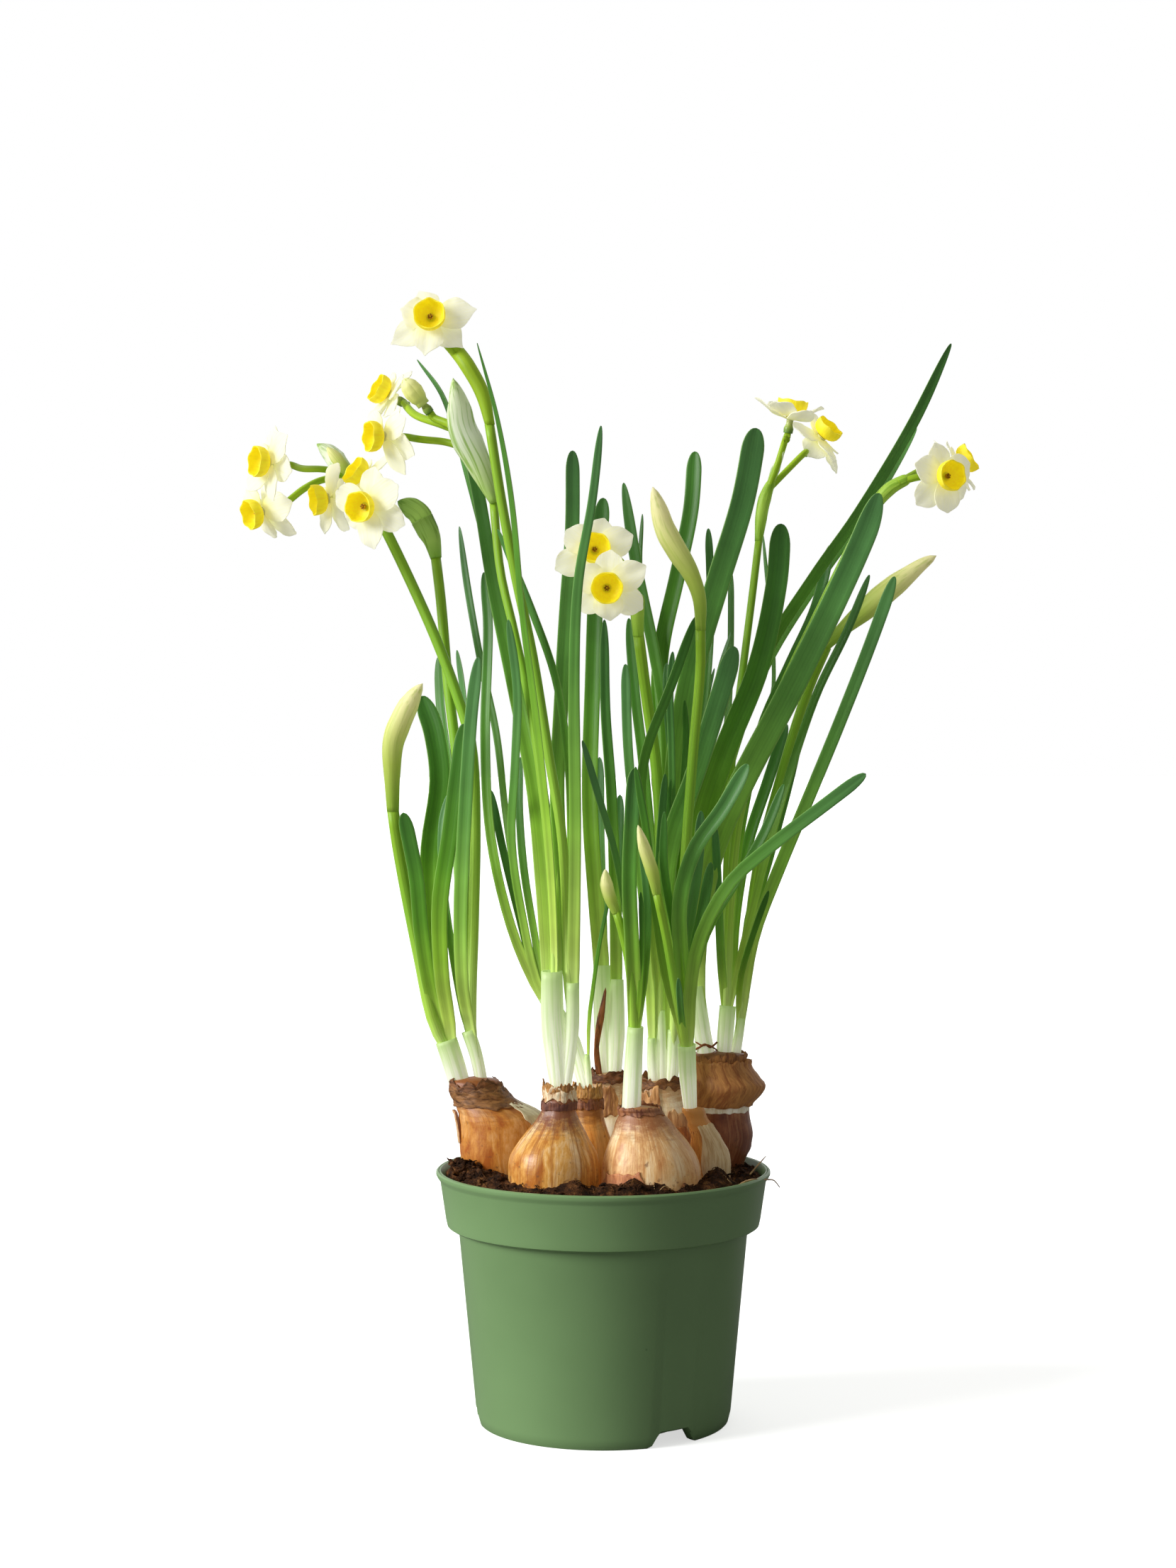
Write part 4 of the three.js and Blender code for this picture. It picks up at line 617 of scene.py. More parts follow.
# Each scale: its bulb, the angle of its middle to the right of the front and its half breadth in degrees,
# heights of its foot and top, how far it stands off below and above and peels off at its right end, how deep
# its tears are, how crumpled it is, and its two tones
scales = [
    (1, 0, 180, 112, 118.6, 0.1, 0.5, 0, 1.4, 1.0, "#4A2A12", "#9A6A3C"),
    (1, 20, 140, 116.5, 120.6, 0.1, 0.3, 0, 2.2, 1.0, "#3E2110", "#82522C"),
    (1, -92, 20, 99, 110, 0.2, 1.4, 0, 1.2, 0.3, "#A56C38", "#DDB688"),
    (1, 74, 34, 105, 113.5, 0.1, 0.2, 0, 1.4, 0.1, "#C0AE84", "#E6DCBC"),
    (2, 0, 180, 119, 123.2, 0.1, 0.3, 0, 2.0, 0.6, "#B0742F", "#F2E2BE"),
    (2, -10, 120, 121.4, 124.6, 0.0, 0.3, 0, 1.8, 0.8, "#7A4A22", "#C08A4C"),
    (2, 0, 180, 115.6, 118.2, 0.08, 0.2, 0, 1.0, 0.3, "#4E2A26", "#80503C"),
    (3, 0, 180, 113.6, 116.2, 0.08, 0.25, 0, 1.1, 0.4, "#5E2E1C", "#A8704A"),
    (3, -36, 28, 86.5, 95, 0.08, 0.25, 0, 1.8, 0.3, "#8E4420", "#CC8A5A"),
    (4, 0, 180, 108.6, 112.8, 0.15, 0.3, 0, 1.0, 0.15, "#D2C096", "#F6F0DC"),
    (4, 0, 180, 124.6, 129.8, 0.12, 0.4, 0, 1.8, 0.7, "#5A3018", "#A8703A"),
    (4, 8, 100, 110.6, 127, 0.3, 0.5, 2.6, 1.2, 0.14, "#83481F", "#BE8448"),
    (5, 0, 180, 112.6, 116, 0.15, 0.3, 0, 1.6, 0.5, "#5A3226", "#96603C"),
    (5, 10, 120, 116, 121, 0.2, 0.5, 0, 2.2, 0.6, "#7A4A22", "#C8954F"),
    (6, 0, 180, 118.8, 122.4, 0.15, 0.5, 0, 2.2, 1.0, "#3E2213", "#7A4A28"),
    (6, -25, 46, 107, 117, 0.15, 0.5, 0, 2.6, 0.4, "#7A4A26", "#C49058"),
    (6, 58, 32, 102, 114, 0.15, 0.4, 0, 2.6, 0.3, "#9A6632", "#D2A468"),
    (7, 0, 180, 118.8, 122.4, 0.15, 0.5, 0, 2.4, 1.0, "#4A2914", "#8A5A30"),
    (7, -34, 30, 107, 118.5, 0.15, 0.6, 0, 2.8, 0.4, "#8A5326", "#D9A468"),
    (7, 40, 34, 103, 111, 0.15, 0.5, 0, 2.6, 0.4, "#9A5A2A", "#E0B27C"),
    (7, 0, 56, 98, 105, 0.1, 0.3, 0, 2.0, 0.2, "#8E4F24", "#C9854A"),
    (8, -46, 30, 90, 106, 0.1, 0.4, 0, 1.4, 0.2, "#A8601F", "#DD9A4C"),
    (8, 34, 56, 82, 108, 0.15, 0.3, 0, 1.0, 0.12, "#B8905A", "#E0C496"),
]


def torn_skin_material(name, dark, light, lie, depth):
    """Dry torn tunic: brittle and matt, with painted shade darkest in its folds and a faint painted glow in
    its light tone.
    """
    # Painted light: the skin glows faintly in its light tone.
    material, tree, shader = new_material(
        name, Roughness=0.55, Specular_IOR_Level=0.35, Emission_Color=light, Emission_Strength=0.06
    )
    skin = add_node(tree, "Attribute", {"attribute_name": "straight"})["Vector"]
    folds_and_painted_shade = grain(tree, skin, lie, Detail=6.0, Roughness=0.7, Distortion=0.5)
    # Painted shade: the dark tone lies in the folds of the grain that also raises the bump.
    tone = add_node(tree, "ValToRGB", {"stops": [(0.38, dark), (0.58, light)], "Fac": folds_and_painted_shade})["Color"]
    bump = add_node(tree, "Bump", {"Strength": depth, "Distance": 0.5 * MM, "Height": folds_and_painted_shade})[0]
    feed(tree, shader, Base_Color=tone, Normal=bump)
    return material


def thicken(bm, faces, thickness):
    """Gives a crumpled skin its thickness, outwards."""
    doubled = bmesh.ops.extrude_face_region(bm, geom=faces, use_keep_orig=True)["geom"]
    bm.normal_update()
    for vert in [part for part in doubled if isinstance(part, bmesh.types.BMVert)]:
        vert.co += vert.normal * thickness * MM
    bmesh.ops.recalc_face_normals(bm, faces=bm.faces[:])


for number, scale in enumerate(scales, 1):
    bulb_number, middle, half, foot, top, stand_low, stand_high, peel, tear, crumple, dark, light = scale
    bulb = bulbs[bulb_number]
    bm = grown_mesh()
    straight = bm.verts.layers.float_vector["straight"]
    seed = number * 7.3
    for vert in bmesh.ops.create_grid(bm, x_segments=96, y_segments=14, size=0.5)["verts"]:
        across = vert.co.x * 2
        share = vert.co.y + 0.5
        spread = 1
        if half < 180:
            spread += 0.22 * noise.noise(Vector((share * 3, across, seed))) - 0.5 * (share - 0.45) ** 2
        angle = math.radians(middle - 90 + half * across * spread)
        way = Vector((math.cos(angle), math.sin(angle), 0))
        here = Vector((0, 0, seed))
        ragged = noise.noise(way * 2.1 + here) + 0.8 * noise.noise(way * 6.5 + here)
        worn = noise.noise(way * 4.2 + Vector((0, 5, seed)))
        low = foot + 0.7 * tear * worn
        height = low + (top + tear * (ragged - 0.1) - low) * share
        ripple = noise.noise(way * 2.4 + Vector((0, 0, seed + height * 0.5)))
        fold = noise.noise(way * 5 + Vector((0, 0, seed + height * 0.9)))
        lift = stand_low + (stand_high - stand_low) * share + crumple * (0.5 * ripple + 0.4 * fold)
        lift += peel * max(across - 0.1, 0) ** 2 * (0.3 + 0.7 * share)
        skin_height = min(max(height, LOWEST_SKIN), bulb["rings"][-2][0])
        skin_spot = bulb_surface(bulb, skin_height, angle, max(lift, SCALE_CLEARANCE))
        vert[straight] = (8 * math.cos(angle), 8 * math.sin(angle), height)
        vert.co = Vector((skin_spot.x, skin_spot.y, height)) * MM
    close_seams(bm)
    thicken(bm, bm.faces[:], TUNIC_THICKNESS)
    lie = (0.3, 0.3, 0.8) if crumple >= BARK_CRUMPLE else (0.8, 0.8, 0.14)
    skin = torn_skin_material(f"torn_tunic_{number}", dark, light, lie, min(0.2 + 0.6 * crumple, 0.8))
    finish_piece(f"torn_scale_{number}", bm, [skin])

# Sheaths
# Pale membranous sleeves that stand on each bulb's neck and hold the foot of the leaves and stems. They are
# white with green veins at the foot, and end in a thin open mouth.

# Each sleeve goes by its bulb and a letter: its width from the mouth down, its thickness, how far it stands
# back, and its outline from the mouth down
sheaths = {
    "1a": ((8, 8, 7.4), 6, 5, [(-56.5, 136), (-53.6, 127), (-50.6, 116.5)]),
    "1b": ((5, 4.6, 4.4), 5, 6, [(-48.6, 139.5), (-45.6, 130), (-43, 116.5)]),
    "2a": ((7.4, 8.2, 5.6), 5.6, -30, [(-18.5, 161), (-18.2, 143), (-15.8, 116)]),
    "2b": ((4.6, 4.8, 3.4), 4.6, -30, [(-11, 157), (-11.2, 140), (-13.8, 116)]),
    "3a": ((5.6, 6.4, 6.8), 6.4, -28, [(11.6, 141), (10.8, 127), (10, 109)]),
    "4a": ((5.8, 6.4, 6.6), 6, 16, [(33.4, 155.5), (35.4, 140), (38, 126)]),
    "4b": ((6, 6, 5.4), 6, 17, [(44.8, 148.5), (44, 139), (43, 126)]),
    "4c": ((3.4, 3.6, 4), 4.6, 18, [(49.6, 144), (48.6, 137), (46.8, 126)]),
    "5a": ((5.6, 6, 5), 5, (0, -2, -5), [(-20.8, 152), (-12, 137.5), (-5.6, 116.5)]),
    "5b": ((1.8, 2.4, 2.6), 2.4, (-6, -6), [(-5.8, 131), (-5.4, 124), (-5, 116.5)]),
    "6a": ((6.2, 6.6, 5), 6, 20, [(-0.6, 163), (-0.2, 143), (0.8, 119)]),
    "6b": ((5, 6.6, 5), 6, 19, [(4.9, 158), (4.6, 140), (3.6, 119)]),
    "7a": ((3, 3.6, 4), 4.4, 3, [(17.4, 137), (17.6, 128), (18.4, 118)]),
    "7b": ((3.6, 4, 4.4), 4.6, 4, [(20.6, 147), (20.8, 134), (21, 118)]),
    "7c": ((4.4, 5, 5), 5, 4, [(25.2, 140), (25, 130), (24.2, 118)]),
    "8a": ((6.4, 6.2, 4.6), 5, (-18, -15, -12), [(30, 134.5), (30.4, 124), (31.4, 110.5)]),
}


def shine_through(tree, shader, shade, share):
    """Lets a share of the light pass through a thin living tissue."""
    passed = add_node(tree, "BsdfTranslucent", {"Color": shade})[0]
    mixed = add_node(tree, "MixShader", {0: share, 1: shader.outputs[0], 2: passed})[0]
    tree.links.new(mixed, tree.nodes["Material Output"].inputs["Surface"])


def living_tissue(name, tones, veins, relief, depth, drawn=None, shaded=None, through=0, **everywhere):
    """Moist tissue that is coloured from its foot to its tip, with veins along it. Either they are drawn in
    a tone of their own, between two levels of their grain, or they darken and lighten the tissue. Some light
    may pass through, and a glow stands for the light that is scattered inside."""
    material, tree, shader = new_material(name, **everywhere)
    limb = add_node(tree, "Attribute", {"attribute_name": "straight"})["Vector"]
    ground = add_node(tree, "ValToRGB", {"stops": tones, "Fac": growth_marks(tree)["Y"]})["Color"]
    vein = grain(tree, limb, **veins)
    if drawn:
        start, full, strength, tone = drawn
        mark = add_node(tree, "ValToRGB", {"stops": [(start, 0.0), (full, strength)], "Fac": vein})["Color"]
        shade = add_node(tree, "Mix", {"data_type": "RGBA", 0: mark, 6: ground, 7: tone})[2]
    else:
        levels = dict(zip(("From Min", "From Max", "To Min", "To Max"), shaded))
        tone = add_node(tree, "MapRange", {**levels, "Value": vein})[0]
        shade = add_node(tree, "VectorMath", {"operation": "SCALE", 0: ground, "Scale": tone})[0]
    bump = add_node(tree, "Bump", {"Strength": relief, "Distance": depth * MM, "Height": vein})[0]
    feed(tree, shader, Base_Color=shade, Normal=bump)
    if "Emission_Color" not in everywhere:
        feed(tree, shader, Emission_Color=shade)
    if through:
        shine_through(tree, shader, shade, through)
    return material


# Sheath: moist white-green tissue that light shines through and is scattered in, with soft green veins a
# millimetre apart
sheath_tissue = living_tissue(
    "membranous_sheath", [(0.0, "#FAFAF0"), (0.4, "#F4F6E4"), (0.8, "#DDE9BC"), (1.0, "#C6DC98")],
    veins=dict(lie=(0.9, 0.9, 0.03), Scale=1.2, Detail=3.0), relief=0.35, depth=0.25,
    drawn=(0.45, 0.68, 0.5, "#B4D07A"), through=0.3, Roughness=0.4, Specular_IOR_Level=0.35,
    Emission_Strength=0.3,
)

for number, sleeves in groupby(sheaths, key=lambda sleeve: sleeve[0]):
    bm = grown_mesh()
    for width, thickness, depths, outline in map(sheaths.get, sleeves):
        path = climb(outline, depths)
        grow_limb(bm, path, upward(width), thickness=thickness, sides=20, rings=14, mouth=True)
    finish_piece(f"sheaths_{number}", bm, [sheath_tissue], [f"leaves_{number}"])

# A dry brown strip of an old sheath, which clings to the sleeves of the sixth bulb, and a dead root that is
# looped round the foot of a sleeve of the fourth: the outline from the tip down, depths, width and thickness
# of each
dry_remains = [
    ([(0.9, 155), (-0.4, 147), (-1.7, 139.6), (-2.4, 132.6), (-1.4, 123)],
     (16.4, 15.8, 16.2), (1, 2.6, 2.2, 2.4), 0.5),
    ([(31.2, 131.8), (34.9, 133.7), (36.6, 134.6), (38.6, 133.6), (41, 135.4)], (15, 12.4, 15), 0.8, 0),
    ([(33, 135.6), (35.6, 134.2), (37.6, 134.4), (40, 133.2), (41, 132.4)], (14, 12.2, 15), 0.6, 0),
]
dry_skin = torn_skin_material("dry_sheath", "#4E2410", "#A25E2C", (0.8, 0.8, 0.14), 0.5)
bm = grown_mesh()
for outline, depths, width, thickness in dry_remains:
    path = climb(outline, depths)
    grow_limb(bm, path, upward(width), thickness=thickness, turn=(20, -35, 10, 40), taper=1.5)
finish_piece("dry_sheath_remains", bm, [dry_skin])

# Leaves
# Flat strap leaves that rise from the sheaths and arch outwards to a blunt tip. They are juicy blades under
# a waxy skin, a little channelled and twisted, and grow from the bulb in the middle of their sheath.

LEAF_THICKNESS = 1.0
LEAF_CHANNELS = (0.2, 0.5)
LEAF_TWIST = 9
LEAF_FOOT = 18
ROOT_SPREAD = 0.12
ROOT_REACH = 1.7

# Each leaf: its sheath, how far it stands back and how wide it is from the tip down, how far it is turned
# from the front in degrees, the length over which its tip rounds off, its outline from the tip down, and a
# tint if it is known, from 0 for deep green to 1 for the waxy grey
leaves = [
    ("1a", (-4, 4), 5.6, 10, 7,
     [(-72, 218), (-70, 209), (-67.2, 194), (-65.6, 176), (-63, 159), (-58.6, 141)]),
    ("1a", (16, 6), (7.6, 7.6, 5.5), -8, 9,
     [(-65.5, 260), (-61, 247), (-58.9, 229), (-62, 206), (-62, 186), (-60, 165), (-57, 142)]),
    ("1a", (-9, 0), (5.6, 6.2, 5), 12, 9,
     [(-50.2, 250), (-52.6, 232), (-55.4, 209), (-58.8, 185), (-58.2, 160), (-55.6, 141)]),
    ("1b", (-13, -3), (4.6, 5.4, 4.8), 20, 12,
     [(-45, 274), (-47.6, 252), (-49.6, 221), (-51.4, 183), (-50.8, 157), (-48.6, 141)]),
    ("1b", (12, 9), 3.2, 30, 9, [(-56, 224.5), (-58.2, 213), (-58, 196), (-54, 166), (-49.4, 143)]),
    ("1b", (24, 12), 3.4, 40, 12, [(-52.7, 276.5), (-50.6, 262), (-48.4, 235), (-47.6, 190), (-48, 143)]),
    ("1b", (32, 14), 4.4, 35, 10, [(-59.5, 274), (-58.6, 256), (-55.6, 232), (-52, 195), (-48.6, 143)]),
    ("2a", (2, -8, -30), (4.4, 5, 6.4, 8.6, 7.4), 8, 8,
     [(-49.5, 353), (-45, 333), (-39.4, 300), (-31.5, 263), (-24.5, 230), (-20.8, 200), (-18.8, 168)]),
    ("2a", (8, 0, -29), 3.2, 50, 30,
     [(-67, 381), (-57.5, 367), (-48.5, 337), (-37, 290), (-26, 236), (-20, 190), (-18, 165)]),
    ("2a", (-34, -33), (2.6, 3.6, 3.4), 50, 70,
     [(-45.4, 387), (-38.2, 360), (-33, 330), (-29.2, 290), (-24, 250), (-19.4, 205), (-17.6, 165)]),
    ("2b", (-22, -29), 3.6, 40, 20,
     [(-38, 320), (-25.4, 290), (-16.9, 265), (-12.6, 235), (-11.6, 195), (-11.4, 160)]),
    ("2b", (-6, -28), 5.2, -12, 8,
     [(-11, 348.3), (-11.2, 320), (-13.3, 290), (-15, 260), (-16.6, 225), (-14.6, 190), (-12, 160)]),
    ("2b", (-44, -31), (2.6, 4.2, 4.6), 8, 14,
     [(-0.8, 357.3), (-4, 330), (-9.1, 300), (-10.5, 265), (-10.1, 215), (-10.8, 160)]),
    ("3a", (-36, -29), 5.2, 0, 7, [(11.4, 234), (10.2, 215), (9.4, 192), (10.6, 166), (11.4, 144)]),
    ("3a", (-26, -27), 3, 25, 10, [(13.8, 206), (15.9, 186), (15.2, 163), (12.6, 143)]),
    ("3a", (-23, -27), 3, -30, 14, [(-7.5, 244), (-2, 225), (4.6, 202), (9, 175), (11, 145)]),
    ("3a", (-31, -28), 2, 10, 8, [(13.5, 189.5), (14, 170), (13, 150), (12, 143)], 0.1),
    ("4a", (-8, 2, 12), (8.4, 9.2, 9.4, 8), 8, 16,
     [(99.3, 333), (94, 318), (83.4, 294.5), (66.3, 260), (51, 231), (39, 204), (34, 178), (32.8, 158)]),
    ("4a", (9, 14), (8, 8.6, 7), -6, 9,
     [(64, 322), (62.3, 300), (55.7, 270), (43.7, 240), (35.4, 214), (33, 186), (33, 158)]),
    ("4a", (16, 17), (4.6, 4.8, 4.4), -25, 34,
     [(125.2, 386.8), (111.4, 358), (91.5, 325), (76, 303), (58, 274), (44, 232), (36, 190), (33.6, 158)]),
    ("4a", (23, 18), 4.6, 35, 24,
     [(112.7, 356.5), (95, 327), (76, 300), (57, 268), (42.5, 225), (36, 190), (33.8, 158)]),
    ("4b", (19, 20), 4.2, 10, 9,
     [(81.9, 314.4), (76.5, 292), (67.5, 272), (57, 248), (49.6, 215), (45.4, 180), (44.4, 150)]),
    ("4b", (-1, 10), 3.4, 35, 14,
     [(95.8, 303.6), (88, 284), (76.5, 260), (66.5, 230), (56, 192), (46.4, 151)]),
    ("4c", (-3, 12), 4.6, 8, 12,
     [(104.9, 303), (95.5, 277), (84.5, 249), (75, 226), (62.5, 196), (54, 173), (50, 147)]),
    ("4c", (24, 21), 4.8, -10, 10, [(71, 251), (66.5, 230), (60, 205), (53, 179), (49.8, 147)]),
    ("4b", (28, 22), 4.4, 20, 10, [(66, 250), (59.5, 230), (52, 207), (47.6, 182), (45.2, 151)]),
    ("4b", (5, 13), 3.2, 20, 10, [(40.2, 214), (41.4, 188), (42.4, 165), (43.6, 151)]),
    ("4b", (27, 20), 1.8, 40, 20,
     [(57.5, 318), (61.4, 266), (57, 245), (50, 215), (45.6, 185), (44.6, 151)], 0.2),
    ("4a", (22, 17), 3, 45, 10,
     [(46, 305), (45.8, 276), (44.6, 250), (41.5, 225), (38, 195), (35, 158)], 0.1),
    ("4a", (12, 14), 2, 30, 14, [(46, 283), (41.5, 268), (37, 245), (33.6, 215), (33, 158)], 0.4),
    ("4a", (20, 16), 1.8, 30, 14, [(40, 270), (36.2, 254), (33, 230), (32.6, 200), (33, 158)], 0.3),
    ("4c", (-2, 13), 2.6, -20, 8, [(59.5, 190), (54.5, 176), (49.7, 160), (48.8, 147)], 0),
    ("5a", (14, 0), 4, 20, 12,
     [(-43, 304.5), (-41.5, 285), (-42.5, 245), (-40.6, 210), (-33.5, 178), (-23.5, 154)]),
    ("5a", (-26, -22, 0), 3.4, 25, 14,
     [(-34.2, 287.5), (-31, 262), (-31.6, 238), (-33, 208), (-29, 180), (-22.5, 154)]),
    ("5a", (6, 2), 3.2, 30, 12, [(-29.8, 238), (-30.2, 220), (-28.6, 198), (-24.4, 172), (-21.2, 154)]),
    ("5a", (26, 4), 3, 30, 26,
     [(-51.8, 321), (-49, 300), (-44, 272), (-38.4, 246), (-34.8, 215), (-29.5, 182), (-22, 154)]),
    ("5a", (9, 2), 3, 20, 12, [(-40.3, 226), (-36.6, 207), (-30, 180), (-22.6, 154)]),
    ("5b", (-8, -5), 1.5, 20, 8,
     [(2.5, 190), (0.5, 180), (-1.5, 170), (-3, 160), (-4.3, 150), (-5.2, 143)], 0.2),
    ("6a", (18, 19), 6, 5, 8, [(0, 331.3), (-2.3, 305), (-3.8, 265), (-4.8, 222), (-2.4, 184), (-0.8, 165)]),
    ("6a", (27, 23), 4, 30, 10, [(-1.4, 238), (-1.2, 215), (-0.6, 190), (-0.2, 166)]),
    ("6b", (12, 17), (3.4, 5), -12, 16, [(0.4, 287.5), (0.8, 255), (3, 224), (4.2, 190), (4.7, 161)]),
    ("6b", (26, 22), 3.8, 20, 8, [(6, 224.5), (5.4, 204), (5, 180), (4.8, 161)]),
    ("7a", (-2, 2), 3.8, 20, 9, [(8, 271.5), (9, 240), (13, 200), (16.4, 165), (17.4, 140)]),
    ("7a", (4, 4), 4, 20, 12, [(9.2, 288), (11.3, 262), (14.5, 235), (17.6, 195), (17.8, 140)]),
    ("7b", (12, 6), 4.4, 15, 20,
     [(7.3, 336.7), (12.3, 305), (18.3, 276), (22.4, 250), (23, 205), (20.8, 149)]),
    ("7b", (-9.5, -11, 1), 3.6, -15, 14,
     [(33.3, 288.5), (24.5, 264), (15.3, 239.5), (13.6, 222), (16.4, 190), (20, 149)]),
    ("7c", (-7, 1), 7.2, 5, 10, [(47.3, 277.8), (42, 260), (32.4, 230), (25, 210), (22, 188), (24.4, 143)]),
    ("7c", (5, 5), (8.8, 8.8, 7), -5, 9,
     [(55.1, 356.4), (50.2, 330), (41, 300), (32.3, 270), (26.6, 236), (24.4, 195), (25, 143)]),
    ("7c", (14, 8), 6, 15, 8,
     [(33, 348), (31.5, 327), (26.8, 304), (20.6, 274), (20.4, 235), (23.6, 190), (25.2, 143)]),
    ("7a", (6, 5), 3.4, 0, 9, [(18.6, 194), (18, 172), (17.4, 140)]),
    ("7c", (10, 7), 3.4, 20, 10, [(27, 245), (27, 225), (25.6, 190), (25.2, 143)]),
    ("7b", (3, 4), 2.4, 25, 9, [(17.6, 232), (19.5, 220), (20.4, 200), (20.6, 170), (20.6, 149)], 0.3),
    ("7b", (-3, 3), 3, -15, 9, [(22.3, 232), (20, 200), (20, 175), (20.6, 149)], 0.6),
    ("7c", (-2, 3), 2, 25, 9, [(24.4, 230), (23.5, 218), (23.6, 200), (24.6, 143)], 0.2),
    ("7c", (0, 4), 2.8, 40, 10, [(29.3, 258.5), (29.8, 245), (28.6, 225), (26.8, 190), (25.4, 143)], 0.1),
    ("7c", (9, 6), 3, 25, 9,
     [(22.8, 272), (22.7, 266), (23, 255), (24.3, 238), (24.4, 200), (24.6, 143)], 0.5),
    ("7c", (16, 8), 3, 20, 9,
     [(37.8, 320.3), (38.4, 305), (38.6, 285), (37, 262), (33, 235), (28, 205), (25.4, 143)], 0.5),
    ("7b", (15, 7), 1.8, 30, 12,
     [(14.1, 325.5), (13.4, 305), (17, 280), (20, 250), (21.6, 205), (20.8, 149)], 0.2),
    ("7c", (-5, 2), 2.6, 10, 9, [(25, 276), (24, 262), (24.6, 240), (25, 200), (25, 143)], 0.7),
    ("8a", (-40, -19), 2.8, 20, 14, [(11.6, 234.5), (15.7, 210), (17.9, 190), (22.2, 160), (28.4, 137)]),
    ("8a", (-25, -19), 3, 20, 14, [(22, 218.5), (21.9, 198), (26, 174), (29.2, 150), (30, 137)]),
    ("8a", (-30, -27, -19), 5.4, 8, 9,
     [(52, 235.5), (43, 219.5), (33, 205), (27.6, 186), (28.2, 164), (29.6, 137)]),
    ("8a", (-20, -18), 4, -20, 10, [(35.2, 218.7), (33.8, 197), (30.6, 174), (29.8, 155), (30, 137)]),
    ("8a", (-24, -19), 4, 15, 9, [(38.8, 200.2), (36, 184), (32.6, 167), (30.6, 150), (30.2, 137)]),
    ("8a", (-26, -28, -19), 4.6, 5, 9,
     [(94.5, 232), (80, 221), (60, 205.7), (45, 192), (34.5, 172), (31.4, 155), (30.6, 137)]),
    ("8a", (-14, -17), 3.6, 15, 12,
     [(65, 228.3), (58, 211), (49.5, 196), (38, 177), (32, 158), (30.8, 137)]),
    ("8a", (-33, -21), 2.4, 10, 9, [(27, 158.5), (27.8, 148), (29, 137)]),
]


def rooted(sleeve, depths, outline):
    """A leaf's or stem's path, with its foot down in its sheath, in front of or behind what is rooted
    there."""
    path = climb(outline, depths)
    _, _, sleeve_depths, sleeve_outline = sheaths[sleeve]
    spine = climb(sleeve_outline, sleeve_depths)
    behind = (along(depths, 0.5) - along(sleeve_depths, 0.5)) * ROOT_SPREAD
    offset = min(max(behind, -ROOT_REACH), ROOT_REACH)
    foot = spine[1] + Vector((0, offset, 0))
    path[0].y = spine[2].y + offset
    return [foot, *path]


# Leaf: a waxy grey-green bloom on the upper part, clear mid-green below and yellow-green at the foot. Fine
# veins run along it half a millimetre apart, drawn coarser so that they show, with a paler line at each
# edge. Some light passes through the blade, and a little glow stands for the light that is scattered inside
# it.
deep_greens = [
    (0.0, "#D8E690"), (0.13, "#BED85E"), (0.32, "#8CB92E"), (0.58, "#5A941A"), (0.85, "#447C1A"),
    (1.0, "#3E741E"),
]
waxy_greens = [
    (0.0, "#CEE08C"), (0.14, "#B0CF5C"), (0.36, "#82B444"), (0.62, "#649C46"), (0.85, "#5C9250"),
    (1.0, "#5A8C54"),
]
leaf_blade, tree, shader = new_material(
    "waxy_leaf_blade", Roughness=0.42, Specular_IOR_Level=0.32, Emission_Strength=0.13
)
limb = add_node(tree, "Attribute", {"attribute_name": "straight"})["Vector"]
marks = growth_marks(tree)
deep = add_node(tree, "ValToRGB", {"stops": deep_greens, "Fac": marks["Y"]})["Color"]
waxy = add_node(tree, "ValToRGB", {"stops": waxy_greens, "Fac": marks["Y"]})["Color"]
ground = add_node(tree, "Mix", {"data_type": "RGBA", 0: marks["X"], 6: deep, 7: waxy})[2]
veins = grain(tree, limb, (1.3, 0.2, 0.01), Detail=3.0, Roughness=0.6)
cloud = add_node(tree, "TexNoise", {"Scale": 0.05, "Detail": 2.0, "Vector": limb})["Fac"]
middle_part = {"From Min": 0.3, "From Max": 0.7}
vein_tone = add_node(tree, "MapRange", {**middle_part, "To Min": 0.84, "To Max": 1.18, "Value": veins})[0]
cloud_tone = add_node(tree, "MapRange", {**middle_part, "To Min": 0.86, "To Max": 1.14, "Value": cloud})[0]
tone = add_node(tree, "Math", {"operation": "MULTIPLY", 0: vein_tone, 1: cloud_tone})[0]
toned = add_node(tree, "VectorMath", {"operation": "SCALE", 0: ground, "Scale": tone})[0]
edge = add_node(tree, "Math", {"operation": "ABSOLUTE", 0: marks["Z"]})[0]
edge_mark = add_node(tree, "ValToRGB", {"stops": [(0.9, 0.0), (0.985, 0.55)], "Fac": edge})["Color"]
leaf_shade = add_node(tree, "Mix", {"data_type": "RGBA", 0: edge_mark, 6: toned, 7: "#A6CC6E"})[2]
bump = add_node(tree, "Bump", {"Strength": 0.4, "Distance": 0.2 * MM, "Height": veins})[0]
feed(tree, shader, Base_Color=leaf_shade, Emission_Color=leaf_shade, Normal=bump)
shine_through(tree, shader, leaf_shade, 0.18)

dice = random.Random(31)
for number, clump in groupby(leaves, key=lambda leaf: leaf[0][0]):
    bm = grown_mesh()
    for sleeve, depths, width, facing, taper, outline, *known_tint in clump:
        height = outline[0][1] - outline[-1][1]
        twist = [facing + dice.uniform(-LEAF_TWIST, LEAF_TWIST) for _ in range(4)]
        channel = dice.uniform(*LEAF_CHANNELS)
        tint = dice.uniform(0.1, 0.9)
        grow_limb(
            bm, rooted(sleeve, depths, outline), upward(width), thickness=LEAF_THICKNESS, turn=twist,
            channel=channel, taper=taper, foot=LEAF_FOOT, sides=16, rings=max(14, round(height / 4)),
            tint=known_tint[0] if known_tint else tint, crowding=1.7,
        )
    finish_piece(f"leaf_blades_{number}", bm, [leaf_blade], [f"leaves_{number}"])

# Flower stems
# Round juicy stems with shallow ribs, that carry the flowers above the leaves. They are rooted in the
# sheaths as the leaves are.

STEM_FOOT = 14

